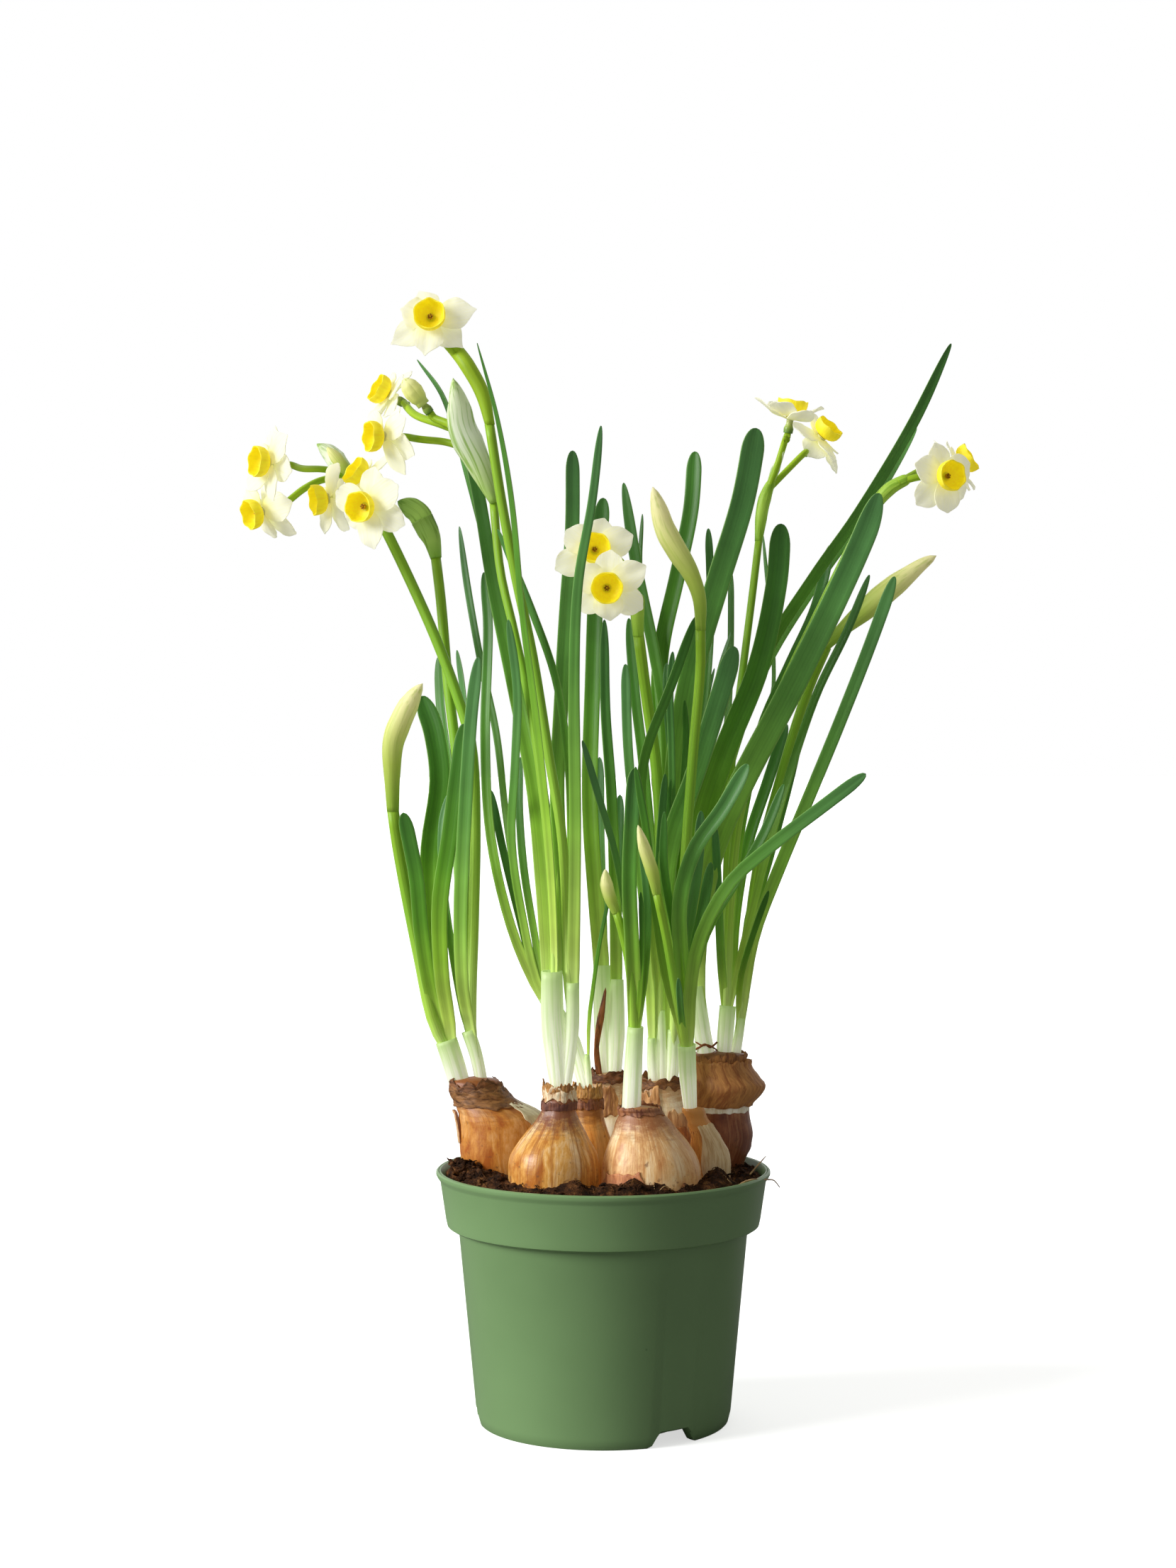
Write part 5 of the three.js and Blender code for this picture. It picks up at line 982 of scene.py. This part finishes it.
# Each stem: its sheath, how far it stands back from the tip down, its width, and its outline from the tip
# down
stems = [
    ("1a", (-1, 7), 4.3, [(-75.7, 219), (-74.2, 208), (-71, 190), (-66, 165), (-61, 143)]),
    ("1b", (15, 8), 3.9,
     [(-87, 334.6), (-80, 323), (-68.8, 300), (-60, 280), (-52.5, 260), (-47.4, 242), (-46, 215),
      (-46.6, 180), (-47.4, 143)]),
    ("1b", (18, 12), 3.8,
     [(-60.3, 310), (-58.4, 294), (-55.8, 264), (-52.3, 233), (-50, 190), (-48.4, 143)]),
    ("2b", (-24, -30), 3.4,
     [(-41, 358), (-36.6, 330), (-31.5, 303), (-25.5, 275), (-19.5, 238), (-14.6, 207), (-12.6, 165)]),
    ("2a", (-13, -29), 3, [(-39.5, 330), (-37, 305), (-32, 283), (-25.5, 252), (-19.6, 205), (-17.4, 165)]),
    ("3a", (-30, -28), 3, [(4.6, 182.5), (6.6, 176), (9.2, 164), (10.8, 144)]),
    ("4b", (13, 16), 2.8, [(56, 316), (53.6, 296), (50.3, 270), (46.6, 240), (44.4, 195), (44.2, 151)]),
    ("4b", (2, 9, 15), 3.4, [(92.5, 320.5), (78, 291), (62, 257), (50, 222), (45.6, 185), (44.6, 151)]),
    ("4c", (8, 14, 18), 3.8, [(80.3, 277.6), (73.6, 262), (64, 231), (55.2, 196), (49.8, 148)]),
    ("7b", (-5, 0, 2), 4, [(12.7, 282), (15.5, 260), (19, 235), (20.6, 205), (20.4, 149)]),
    ("7c", (-14, -8, 2), 3.6, [(35, 284), (35, 270), (32.4, 240), (29.4, 200), (27, 168), (25.6, 143)]),
    ("8a", (-34, -20), 3, [(19.3, 189), (22.5, 174), (26.3, 152), (29.2, 137)]),
]

# Stem: smooth yellow-green skin, paler towards the foot, with fine ribs along it
# The stem glows a little in its own colour: painted light.
stem_skin = living_tissue(
    "ribbed_flower_stem", [(0.0, "#C6DC84"), (0.2, "#A2C84A"), (0.6, "#7DAE30"), (1.0, "#86AE2C")],
    veins=dict(lie=(1.5, 1.5, 0.01), Detail=2.0), relief=0.5, depth=0.3, shaded=(0.32, 0.68, 0.82, 1.16),
    Roughness=0.42, Specular_IOR_Level=0.25, Emission_Strength=0.15,
)

for number, clump in groupby(stems, key=lambda stem: stem[0][0]):
    bm = grown_mesh()
    for sleeve, depths, width, outline in clump:
        height = outline[0][1] - outline[-1][1]
        path = rooted(sleeve, depths, outline)
        grow_limb(bm, path, width, sides=14, rings=max(12, round(height / 5)), foot=STEM_FOOT)
    finish_piece(f"flower_stems_{number}", bm, [stem_skin], [f"leaves_{number}"])

# Flowers
# Each open flower has six cream tepals in two layers of three, grown together with a slender tube behind
# them. They are thin moist tissue, waved at their edges. One flower is still closed.

TUBE_LENGTH = 7
TEPAL_LENGTH = 12
TEPAL_HALF_WIDTH = 5.3
TEPAL_THICKNESS = 0.35
TEPAL_WIDEST = 0.56
TEPAL_POINTED = (0.05, 0.55)
THIN_EDGE = 60
TEPAL_SEAT = 0.55
LAYER_STEP = 1.0
LAYER_SWEEP = 6

# Each flower: where the foot of its cup is and how far that stands back, the way it faces, how far its
# tepals sweep forward in degrees, and its tepals. A tepal is noted by its angle from the flower's own right,
# seen from its front, its share of the full length and any extra sweep forward.
flowers = {
    1: dict(at=(-62, 396), y=-31, faces=(-0.08, -1, 0.2), sweep=8, pointed=0.95,
        petals=[(11, 1.3), (-42, 1.18), (-97, 1.13), (211, 1.32), (162, 0.92), (114, 0.92)]),
    2: dict(at=(-77.8, 368.8), y=6, faces=(-0.82, -0.35, 0.45), sweep=4,
        petals=[(20, 1), (80, 0.95), (140, 0.95), (200, 0.95), (260, 1.05, 9), (320, 1.05)]),
    3: dict(at=(-66.8, 367.6), y=-11, faces=(-0.62, -0.2, 0.78), closed=True),
    4: dict(at=(-79.9, 353.4), y=-13, faces=(-0.88, -0.46, -0.03), sweep=-20,
        petals=[(35, 0.9), (82, 0.95), (140, 1.05, 32), (200, 0.9), (280, 1.2), (325, 1.15)]),
    5: dict(at=(-121, 344), y=-10, faces=(-0.84, -0.54, 0.04), sweep=2,
        petals=[(43, 1.1), (103, 1.15), (163, 1), (223, 1.15, 24), (283, 1.15), (343, 1)]),
    6: dict(at=(-123.6, 326.2), y=3, faces=(-0.8, -0.52, -0.28), sweep=-16,
        petals=[(5, 1.15), (65, 0.95), (125, 0.9, 29), (185, 0.9), (245, 1), (305, 1.15)]),
    7: dict(at=(-86.6, 338.8), y=2, faces=(-0.72, -0.4, 0.56), sweep=2,
        petals=[(42, 1.2), (94, 1), (150, 1), (212, 0.9), (272, 0.9), (342, 1)]),
    8: dict(at=(-99.8, 331), y=0.5, faces=(-0.92, -0.36, -0.14), sweep=-10,
        petals=[(72, 1.05), (12, 1), (-58, 1.2), (-115, 1.15, 32), (188, 0.9), (130, 0.9)]),
    9: dict(at=(-85.6, 328.2), y=-15, faces=(-0.5, -0.85, -0.1), sweep=4,
        petals=[(25, 1.3), (-27, 1.28), (-83, 1.24), (-148, 0.95), (155, 1.1), (76, 1.15)]),
    10: dict(at=(-3.1, 312.3), y=-22, faces=(0.03, -0.97, 0.2), sweep=5,
        petals=[(24, 1.2), (-38, 0.95), (-98, 0.95), (204, 1.22), (143, 1.02), (74, 1.05)]),
    11: dict(at=(1.3, 298.8), y=-31, faces=(0, -1, -0.04), sweep=5,
        petals=[(30, 1.26), (-30, 1.16), (-84, 0.92), (-145, 1.02), (150, 1), (84, 1.08)]),
    12: dict(at=(67.6, 361.5), y=3, faces=(0.16, -0.08, 0.98), sweep=13, curl=0.3,
        petals=[(0, 0.95), (60, 1), (120, 1), (180, 1.14, 2), (240, 0.95, -10), (300, 0.95, -10)]),
    13: dict(at=(79, 353.8), y=20, faces=(0.62, -0.35, 0.7), sweep=-12,
        petals=[(150, 1.12), (208, 1.05), (255, 1), (298, 1.15), (350, 1), (84, 1, 46)]),
    14: dict(at=(123.2, 339), y=-6, faces=(0.48, -0.87, 0.02), sweep=4,
        petals=[(25, 0.98), (-36, 0.98), (-82, 1.06), (-134, 1.15), (162, 1.08), (104, 1.02)]),
    15: dict(at=(128.4, 343.8), y=12, faces=(0.82, -0.2, 0.5), sweep=2,
        petals=[(20, 0.95), (80, 1.05), (140, 0.95), (200, 0.95), (260, 0.95), (320, 1.05)]),
}


def flower_axes(flower):
    """The foot of the cup, the way the flower faces, and its own right and up."""
    foot = seen(*flower["at"], flower["y"])
    axis = Vector(flower["faces"]).normalized()
    helper = Vector((1, 0, 0)) if abs(axis.z) > 0.9 else Vector((0, 0, 1)).cross(axis)
    right = (helper - axis * helper.dot(axis)).normalized()
    return foot, axis, right, axis.cross(right)


# Tepal: thin cream tissue, yellower at its foot, with faint veins a millimetre apart. Light shines through
# it, and a little glow stands for the light that is scattered inside the tissue.
tepal_tissue = living_tissue(
    "cream_tepal", [(0.0, "#E9E77A"), (0.26, "#F2F1CC"), (0.55, "#F5F4E4"), (1.0, "#F5F4E8")],
    veins=dict(lie=(1.8, 1.8, 0.1), Detail=3.0), relief=0.3, depth=0.25, drawn=(0.48, 0.7, 0.35, "#E2DFB4"),
    through=0.45, Roughness=0.55, Specular_IOR_Level=0.3, Emission_Color="#F3F3DE", Emission_Strength=0.32,
)

# Flower tube: yellow-green at the seed pod behind the flower, cream where it opens
tube_tissue, tree, shader = new_material("flower_tube", Roughness=0.42)
tube_tones = [(0.0, "#5F8C2E"), (0.35, "#98B048"), (0.65, "#CFD48A"), (1.0, "#DEDBAA")]
tube_shade = add_node(tree, "ValToRGB", {"stops": tube_tones, "Fac": growth_marks(tree)["Y"]})["Color"]
feed(tree, shader, Base_Color=tube_shade)

# Closed tepals: still greenish yellow, with a green line down the middle of each
# A pale glow over them is painted light, and some light shines through them.
bud_tissue, tree, shader = new_material(
    "closed_tepal", Roughness=0.5, Specular_IOR_Level=0.3, Emission_Color="#E8E8A0", Emission_Strength=0.22
)
marks = growth_marks(tree)
bud_tones = [(0.0, "#9DB83A"), (0.3, "#D3DA72"), (0.6, "#EDEDA2"), (1.0, "#F2F0C4")]
ground = add_node(tree, "ValToRGB", {"stops": bud_tones, "Fac": marks["Y"]})["Color"]
middle = add_node(tree, "Math", {"operation": "ABSOLUTE", 0: marks["Z"]})[0]
line = add_node(tree, "ValToRGB", {"stops": [(0.1, 0.7), (0.3, 0.0)], "Fac": middle})["Color"]
bud_shade = add_node(tree, "Mix", {"data_type": "RGBA", 0: line, 6: ground, 7: "#B4C452"})[2]
feed(tree, shader, Base_Color=bud_shade)
shine_through(tree, shader, bud_shade, 0.3)

for number, flower in flowers.items():
    foot, axis, right, up = flower_axes(flower)
    dice = random.Random(97 + number * 31)
    bm = grown_mesh()
    straight = bm.verts.layers.float_vector["straight"]
    growth = bm.verts.layers.float_vector["growth"]
    tube_points = [foot + axis * d for d in (-TUBE_LENGTH, -5, -3.2, -1.6, -0.4)]
    grow_limb(bm, tube_points, (3.4, 3.6, 2.4, 2.6, 4.2), sides=12, rings=12, across=right)
    for face in bm.faces:
        face.material_index = 1
    if "closed" in flower:
        bud = [foot + axis * d for d in (-3.5, -1, 2.5, 5.5, 8)]
        for turn in (0, 62, 121):
            grow_limb(
                bm, bud, (3, 6.2, 7.4, 6.4, 4), thickness=4.8, turn=turn, taper=3, sides=16, rings=20,
                across=right,
            )
        finish_piece(f"tepals_{number}", bm, [bud_tissue, tube_tissue], [f"petals_{number}"])
        continue
    for i, (angle, reach, *lean) in enumerate(flower["petals"]):
        outer = i % 2 == 1
        outward = right * math.cos(math.radians(angle)) + up * math.sin(math.radians(angle))
        sideways = axis.cross(outward)
        sweep = math.radians(flower["sweep"] + sum(lean) - (LAYER_SWEEP if outer else 0))
        length = TEPAL_LENGTH * reach
        half = TEPAL_HALF_WIDTH * (0.96 if outer else 1.04) * dice.uniform(0.96, 1.04)
        curl = flower.get("curl", 0) + dice.uniform(-0.12, 0.08)
        roll = math.radians(dice.uniform(-12, 12))
        pointed = flower.get("pointed", dice.uniform(*TEPAL_POINTED))
        seed = Vector((number * 3.1, i * 5.7, 0))
        made = bmesh.ops.create_grid(bm, x_segments=14, y_segments=24, size=0.5)["verts"]
        for vert in made:
            across = vert.co.x * 2
            share = vert.co.y + 0.5
            if share < TEPAL_WIDEST:
                fullness = 0.4 + 0.6 * (1 - (1 - share / TEPAL_WIDEST) ** 2)
            else:
                beyond = (share - TEPAL_WIDEST) / (1.01 - TEPAL_WIDEST)
                fullness = (1 - beyond ** 2.4) ** 0.5 * (1 - pointed) + (1 - beyond ** 1.5) * pointed
            off = fullness * across
            width = half * off
            hook = share ** 8
            nib = hook * (1 - across ** 2 * min(fullness * 4, 1))
            point = length * (0.1 + 0.88 * share + 0.05 * nib)
            wave = 0.7 * noise.noise(Vector((off * 1.3, share * 2.2, 0)) + seed) * share
            ruffle = 0.5 * noise.noise(Vector((off * 2.5, share * 5, 4)) + seed) * off ** 2
            crease = 0.3 * math.exp(-(off * 3) ** 2)
            cupping = off ** 2 * (0.9 * share - 0.7)
            layer = -TEPAL_SEAT - (LAYER_STEP if outer else 0)
            rise = layer + point * math.sin(sweep) + length * curl * share ** 2
            lift = rise + wave + ruffle + cupping - crease - 0.4 * hook + width * math.sin(roll * share)
            vert[straight] = (width, 0, point)
            vert[growth] = (0.5, share, across)
            side_shift = sideways * width * math.cos(roll * share)
            spot = foot + outward * point * math.cos(sweep) + side_shift + axis * lift
            vert.co = spot * MM
        tepal_faces = list({face for vert in made for face in vert.link_faces})
        thicken(bm, tepal_faces, TEPAL_THICKNESS)
    tissues = [tepal_tissue, tube_tissue]
    finish_piece(f"tepals_{number}", bm, tissues, [f"petals_{number}"], THIN_EDGE)

# Cups
# The short lemon-yellow cup in the middle of each flower, shallow and open, with a rim of six soft lobes. In
# its narrow throat stand the style and six anthers, brown with pollen.

CUP_RADIUS = 5.1
CUP_DEPTH = 4.9
CUP_THICKNESS = 0.4
CUP_LOBES = 6
ANTHER_COUNT = 6
ANTHER_HEIGHT = 2.0
ANTHER_SPREAD = 0.85
STYLE_HEIGHT = 2.5
# Half section of the cup from the middle of its throat to its rim, as shares of its radius and of its depth
CUP_RADII = (0, 0.2, 0.34, 0.62, 0.84, 0.96, 1, 1, 0.98)
CUP_HEIGHTS = (0, 0.01, 0.05, 0.12, 0.26, 0.46, 0.7, 0.88, 1)

# Cup: clear lemon yellow tissue, lit through and with a painted glow, olive brown down in the throat
cup_tissue = living_tissue(
    "lemon_yellow_cup",
    [(0.0, "#8E8820"), (0.16, "#B8B028"), (0.28, "#F0DE24"), (0.6, "#F4E834"), (1.0, "#F6EC52")],
    veins=dict(lie=(1.4, 1.4, 0.15), Detail=2.0), relief=0.35, depth=0.3, shaded=(0.3, 0.7, 0.9, 1.08),
    through=0.3, Roughness=0.5, Specular_IOR_Level=0.3, Emission_Color="#F2E41C", Emission_Strength=0.3,
)

# Pollen: dry orange-brown dust on the anthers
pollen, tree, shader = new_material("pollen", Roughness=0.9)
place = add_node(tree, "TexCoord", {})["Object"]
dust = add_node(tree, "TexNoise", {"Scale": 2500.0, "Detail": 3.0, "Vector": place})["Fac"]
dusty = add_node(tree, "ValToRGB", {"stops": [(0.35, "#8F6414"), (0.65, "#C99A2C")], "Fac": dust})["Color"]
feed(tree, shader, Base_Color=dusty)

for number, flower in flowers.items():
    if "closed" in flower:
        continue
    foot, axis, right, up = flower_axes(flower)
    dice = random.Random(11 + number)
    roll = dice.uniform(0, 1)
    bm = grown_mesh()
    straight = bm.verts.layers.float_vector["straight"]
    growth = bm.verts.layers.float_vector["growth"]
    for vert in bmesh.ops.create_grid(bm, x_segments=48, y_segments=16, size=0.5)["verts"]:
        angle = (vert.co.x + 0.5) * math.tau
        share = vert.co.y + 0.5
        lobe = math.cos(CUP_LOBES * (angle + roll))
        frill = noise.noise(Vector((math.cos(angle) * 2.6, math.sin(angle) * 2.6, number)))
        radius = CUP_RADIUS * along(CUP_RADII, share)
        radius *= 1 + share ** 4 * (0.03 * lobe + 0.05 * frill)
        height = CUP_DEPTH * along(CUP_HEIGHTS, share) * (1 + 0.05 * lobe * share ** 3)
        vert[straight] = (radius * math.cos(angle), radius * math.sin(angle), height)
        vert[growth] = (0.5, share, 0)
        spot = foot + right * radius * math.cos(angle) + up * radius * math.sin(angle) + axis * height
        vert.co = spot * MM
    close_seams(bm)
    thicken(bm, bm.faces[:], CUP_THICKNESS)
    cup_faces = len(bm.faces)
    # The anthers stand round the style, which comes last and is a little taller
    for i in range(ANTHER_COUNT + 1):
        spread, tall = (ANTHER_SPREAD, ANTHER_HEIGHT) if i < ANTHER_COUNT else (0, STYLE_HEIGHT)
        angle = i * math.tau / ANTHER_COUNT + roll
        outward = right * math.cos(angle) + up * math.sin(angle)
        base = foot + outward * spread * 0.6
        head = foot + outward * spread + axis * tall
        rise = [base + axis * 0.3, base.lerp(head, 0.55) + axis * 0.2, head]
        grow_limb(bm, rise, (0.4, 0.7, 0.7), taper=0.4, sides=8, rings=6, across=right + up * 0.3)
    bm.faces.ensure_lookup_table()
    for face in bm.faces[cup_faces:]:
        face.material_index = 1
    finish_piece(f"yellow_cup_{number}", bm, [cup_tissue, pollen], [f"cup_{number}"], THIN_EDGE)

# Flower heads
# On top of each stem stands a papery spathe with the stalks of its flowers, or a bud that is still closed in
# it. All are thin skins with veins along them, grown in one piece with the stem.

NECK_LAP = 1.2
STALK_GAP = 0.1
STALK_APPROACH = 2.4

# Each part of a head: the head's number, its kind of skin, how far it stands back, its width and its outline
# from the stem up, and what else there is to it. A stalk runs on to the back of its flower.
heads = [
    (1, "stalk", (-24, -22.5, -20), (3.4, 5, 5.4, 5, 3.6),
     [(-41, 358.6), (-43.6, 369), (-48.6, 378.4), (-53, 384.4)], dict(flower=1)),
    (2, "spathe", (-13, -14, -16), (3.2, 8, 11, 9, 2),
     [(-39.6, 330.7), (-44.6, 343), (-50.6, 356), (-52.2, 366), (-54.1, 374.4)], dict(thickness=6, taper=5)),
    (2, "stalk", (-14, -10, -6), 2.6, [(-47, 348), (-56, 351.2), (-66, 352.4)], dict(flower=4)),
    (2, "stalk", (-14, -4, 6), 2.8,
     [(-49, 354), (-58, 357.6), (-67.4, 361), (-71.6, 365.4)], dict(flower=2)),
    (2, "stalk", (-12.4, -12), 2.8, [(-50, 352), (-55, 357.4)], dict(flower=3)),
    (3, "neck", 15, (3.9, 5, 4), [(-87.4, 335.3), (-90, 339), (-91.6, 342)], dict(taper=3)),
    (3, "stalk", (15, 14, 4), 2.5, [(-89.6, 338.6), (-98, 341.2), (-108, 341.8)], dict(flower=5)),
    (3, "stalk", (15, 14, 10), 2.6, [(-89.6, 338), (-99, 338.2), (-107, 335)], dict(flower=6)),
    (3, "stalk", (15, 12), 2.4, [(-89, 338.4), (-84.6, 337)], dict(flower=7)),
    (3, "stalk", (15, 10), 2.4, [(-89.6, 338), (-92, 335.4)], dict(flower=8)),
    (3, "stalk", (16, 16, 4), 2.4, [(-91.4, 339), (-92, 330.6), (-85, 326.4)], dict(flower=9)),
    (3, "spathe", (15, 17, 18), (2.4, 5.4, 7.6, 6, 2),
     [(-90.6, 340), (-95, 343.8), (-98.6, 347.6), (-103, 350.6)], dict(thickness=4.6, taper=4)),
    (3, "bud", (14, 12.6, 13), (2.6, 4.4, 4.6, 2),
     [(-91, 339.4), (-94, 343), (-96.8, 346.6), (-99.4, 349.4)], dict(thickness=3.8, taper=3)),
    (4, "green_spathe", 18, (4.2, 6, 8.2, 8.6),
     [(-60.4, 310.7), (-61.6, 316), (-63.6, 320.4), (-65.2, 323.6)], dict(thickness=5, mouth=True)),
    (4, "green_spathe", 18, (6.4, 8.6, 8, 3.4),
     [(-63.8, 320.6), (-66.2, 325.4), (-69.6, 328), (-74, 330)], dict(thickness=4.2, taper=4)),
    (5, "bud", (-1, -4), (4.4, 5.4, 7, 8.4, 7.6, 3),
     [(-75.7, 219.7), (-76, 232), (-75.6, 243), (-72.4, 252), (-68.2, 260), (-65, 264.5)], dict(taper=6)),
    (6, "neck", (-5.2, -6, -8), (4, 5, 4.6), [(12.6, 282.8), (12.3, 289), (12.8, 297)], dict(taper=3)),
    (6, "stalk", (-7, -12, -19), 2.5, [(12.6, 293), (9.6, 297.4), (6.4, 298.6)], dict(flower=11)),
    (6, "stalk", (-7, -8, -10), 2.5, [(12.6, 293), (9.4, 304), (2.6, 311.4)], dict(flower=10)),
    (7, "bud", (-14, -15), (3.6, 4.6, 5.6, 7.4, 7.8, 6.4, 2.6),
     [(35, 284.8), (34.6, 295), (31.5, 304), (26.4, 312.4), (22.3, 320), (19.6, 329),
      (17.8, 335.3)], dict(taper=6)),
    (8, "neck", 13, (2.8, 4.4, 4.8, 3),
     [(56, 316.8), (57.4, 328), (59.4, 334.6), (61.4, 338)], dict(taper=2)),
    (8, "stalk", (13, 12, 10), 2.4, [(58.4, 332), (62.6, 343), (65.8, 353)], dict(flower=12)),
    (8, "stalk", (13, 14, 16), 2.4, [(59.2, 334), (65, 340), (72.4, 347.4)], dict(flower=13)),
    (8, "spathe", (13, 11), (2.4, 3.4, 1.2),
     [(60, 336), (62.5, 343), (65, 348)], dict(thickness=0.8, taper=3)),
    (9, "neck", (2, 2, 1), (3.4, 4.6, 5, 4),
     [(92.9, 321.2), (97.6, 328.6), (103.4, 334.8), (110.4, 338.6)], dict(taper=2)),
    (9, "stalk", (1, 1, 3), 2.6, [(106.4, 336.8), (112.6, 338.6), (118.6, 339)], dict(flower=14)),
    (9, "stalk", (1, 6, 9), 2.4, [(106.4, 336.8), (113, 340.6), (118, 342.6)], dict(flower=15)),
    (10, "bud", (8, 6), (3.8, 5, 7.2, 8.6, 8, 5.4, 2.6),
     [(80.8, 278.8), (88, 285.6), (95, 291.5), (102, 297.5), (109, 303), (115, 307.6),
      (119.9, 310.5)], dict(taper=5)),
    (11, "bud", (-30, -31), (3, 4.4, 4.6, 2),
     [(4.3, 183), (2.4, 187.6), (1.2, 192), (0.7, 197.7)], dict(taper=4)),
    (12, "bud", (-34, -38), (3, 4.6, 4.4, 2),
     [(19.1, 189.6), (18, 195.4), (14.8, 205.4), (12.5, 213.5)], dict(taper=7)),
]

# Skins of the head, from the foot to the tip: stalks and necks are juicy yellow-green, a young spathe is
# whitish with green veins, an old one is green, and a bud turns cream where it breaks out. With each come
# how strongly its veins show and their tone.
head_tones = {
    "stalk": ([(0.0, "#98BC2C"), (0.5, "#A6C430"), (1.0, "#94B626")], 0.4, "#7AA01C"),
    "neck": ([(0.0, "#98C240"), (0.5, "#AED054"), (1.0, "#9EC240")], 0.7, "#6B981E"),
    "spathe": (
        [(0.0, "#94BA4C"), (0.22, "#C4D894"), (0.55, "#E8EFD6"), (0.9, "#E2EAC8"), (1.0, "#B9CF86")],
        0.85, "#8DB24A",
    ),
    "green_spathe": (
        [(0.0, "#8CB848"), (0.4, "#A6C862"), (0.75, "#98BA5C"), (1.0, "#86A44C")], 0.8, "#5E8626",
    ),
    "bud": (
        [(0.0, "#8CB038"), (0.35, "#B6C85A"), (0.6, "#DDE08C"), (0.82, "#F2EDB0"), (1.0, "#F4EEBC")],
        0.5, "#BCCB62",
    ),
}
head_kinds = list(head_tones)
# Each skin glows a little in its own tones, which is painted light, and lets some light through.
head_skins = [
    living_tissue(
        f"flower_head_{kind}", tones, veins=dict(lie=(0.8, 0.8, 0.03), Detail=3.0), relief=0.45, depth=0.3,
        drawn=(0.5, 0.62, strength, tone), through=0.2, Roughness=0.45, Specular_IOR_Level=0.25,
        Emission_Strength=0.18,
    )
    for kind, (tones, strength, tone) in head_tones.items()
]

for number, parts in groupby(heads, key=lambda part: part[0]):
    bm = grown_mesh()
    for _, kind, depths, width, outline, rest in parts:
        last = len(outline) - 1
        points = [seen(x, z, along(depths, i / last)) for i, (x, z) in enumerate(outline)]
        points[0] += (points[0] - points[1]).normalized() * NECK_LAP
        if "flower" in rest:
            foot, axis, right, up = flower_axes(flowers[rest["flower"]])
            points += [foot - axis * (TUBE_LENGTH + gap) for gap in (STALK_APPROACH, STALK_GAP)]
        shape = {name: value for name, value in rest.items() if name != "flower"}
        made = grow_limb(bm, points, width, sides=18, rings=26, **shape)
        for face in {face for vert in made for face in vert.link_faces}:
            face.material_index = head_kinds.index(kind)
    finish_piece(f"flower_head_{number}", bm, head_skins, [f"head_{number}"])

# Floor, light and camera
# A plain pale floor in a white studio. One broad soft lamp stands high at the left, a little in front, the
# white backdrop behind lights the edges, and the room in front is dim. The camera is a metre in front of the
# pot.

FOCAL_PIXELS = 3920
IMAGE_WIDTH = 1659
IMAGE_HEIGHT = 2212
AXIS_COLUMN = 851
HORIZON_ROW = 1021
SENSOR_WIDTH = 36
ROOM_LIGHT = 0.26
BACKDROP_LIGHT = 1.0
LAMP_STRENGTH = 3.8
LAMP_BREADTH = 30
LAMP_PLACE = (-1.7, -0.7, 0.75)

floor_paint, tree, shader = new_material("studio_floor", Roughness=0.9, Specular_IOR_Level=0.1)
place = add_node(tree, "TexCoord", {})["Object"]
cloud = add_node(tree, "TexNoise", {"Scale": 2.0, "Vector": place})["Fac"]
pale = add_node(tree, "ValToRGB", {"stops": [(0.0, "#F2F2F1"), (1.0, "#F6F6F5")], "Fac": cloud})["Color"]
direct = add_node(tree, "LightPath", {})["Is Camera Ray"]
thrown = add_node(tree, "Mix", {"data_type": "RGBA", 0: direct, 6: "#8C8C8A", 7: pale})[2]
glow = add_node(tree, "Math", {"operation": "MULTIPLY", 0: direct, 1: 0.7})[0]
feed(tree, shader, Base_Color=thrown, Emission_Color=thrown, Emission_Strength=glow)
bm = bmesh.new()
bmesh.ops.create_grid(bm, x_segments=2, y_segments=2, size=12)
mesh = bpy.data.meshes.new("studio_floor")
bm.to_mesh(mesh)
bm.free()
mesh.materials.append(floor_paint)
floor = bpy.data.objects.new("studio_floor", mesh)
bpy.context.scene.collection.objects.link(floor)

# The room: what is seen of it is plain white, and its light is strongest from the backdrop
world = bpy.data.worlds.new("white_studio")
world.use_nodes = True
tree = world.node_tree
way = add_node(tree, "TexCoord", {})["Generated"]
depth = add_node(tree, "SeparateXYZ", {0: way})["Y"]
fade = {"From Min": 0.3, "From Max": 0.9, "To Min": ROOM_LIGHT, "To Max": BACKDROP_LIGHT}
glow = add_node(tree, "MapRange", {**fade, "Value": depth})[0]
direct = add_node(tree, "LightPath", {})["Is Camera Ray"]
strength = add_node(tree, "Mix", {"data_type": "FLOAT", 0: direct, 2: glow, 3: 1.0})[0]
background = tree.nodes["Background"]
background.inputs["Color"].default_value = (1, 1, 1, 1)
feed(tree, background, Strength=strength)
bpy.context.scene.world = world
bpy.context.scene.view_settings.view_transform = "Standard"

# The lamp: its strength is in watts a square metre, and its breadth is how wide it looks in degrees
lamp = bpy.data.lights.new("left_lamp", "SUN")
lamp.energy = LAMP_STRENGTH
lamp.angle = math.radians(LAMP_BREADTH)
light = bpy.data.objects.new("left_lamp", lamp)
light.location = LAMP_PLACE
light.rotation_euler = (-light.location).to_track_quat("-Z", "Y").to_euler()
bpy.context.scene.collection.objects.link(light)

lens = bpy.data.cameras.new("camera")
lens.sensor_fit = "HORIZONTAL"
lens.sensor_width = SENSOR_WIDTH
lens.lens = FOCAL_PIXELS / IMAGE_WIDTH * SENSOR_WIDTH
lens.shift_x = (IMAGE_WIDTH / 2 - AXIS_COLUMN) / IMAGE_WIDTH
lens.shift_y = (HORIZON_ROW - IMAGE_HEIGHT / 2) / IMAGE_WIDTH
lens.clip_start = 0.05
camera = bpy.data.objects.new("camera", lens)
camera.location = (0, -EYE_DISTANCE * MM, EYE_HEIGHT * MM)
camera.rotation_euler = (math.radians(90), 0, 0)
bpy.context.scene.collection.objects.link(camera)
bpy.context.scene.camera = camera

bpy.context.view_layer.update()
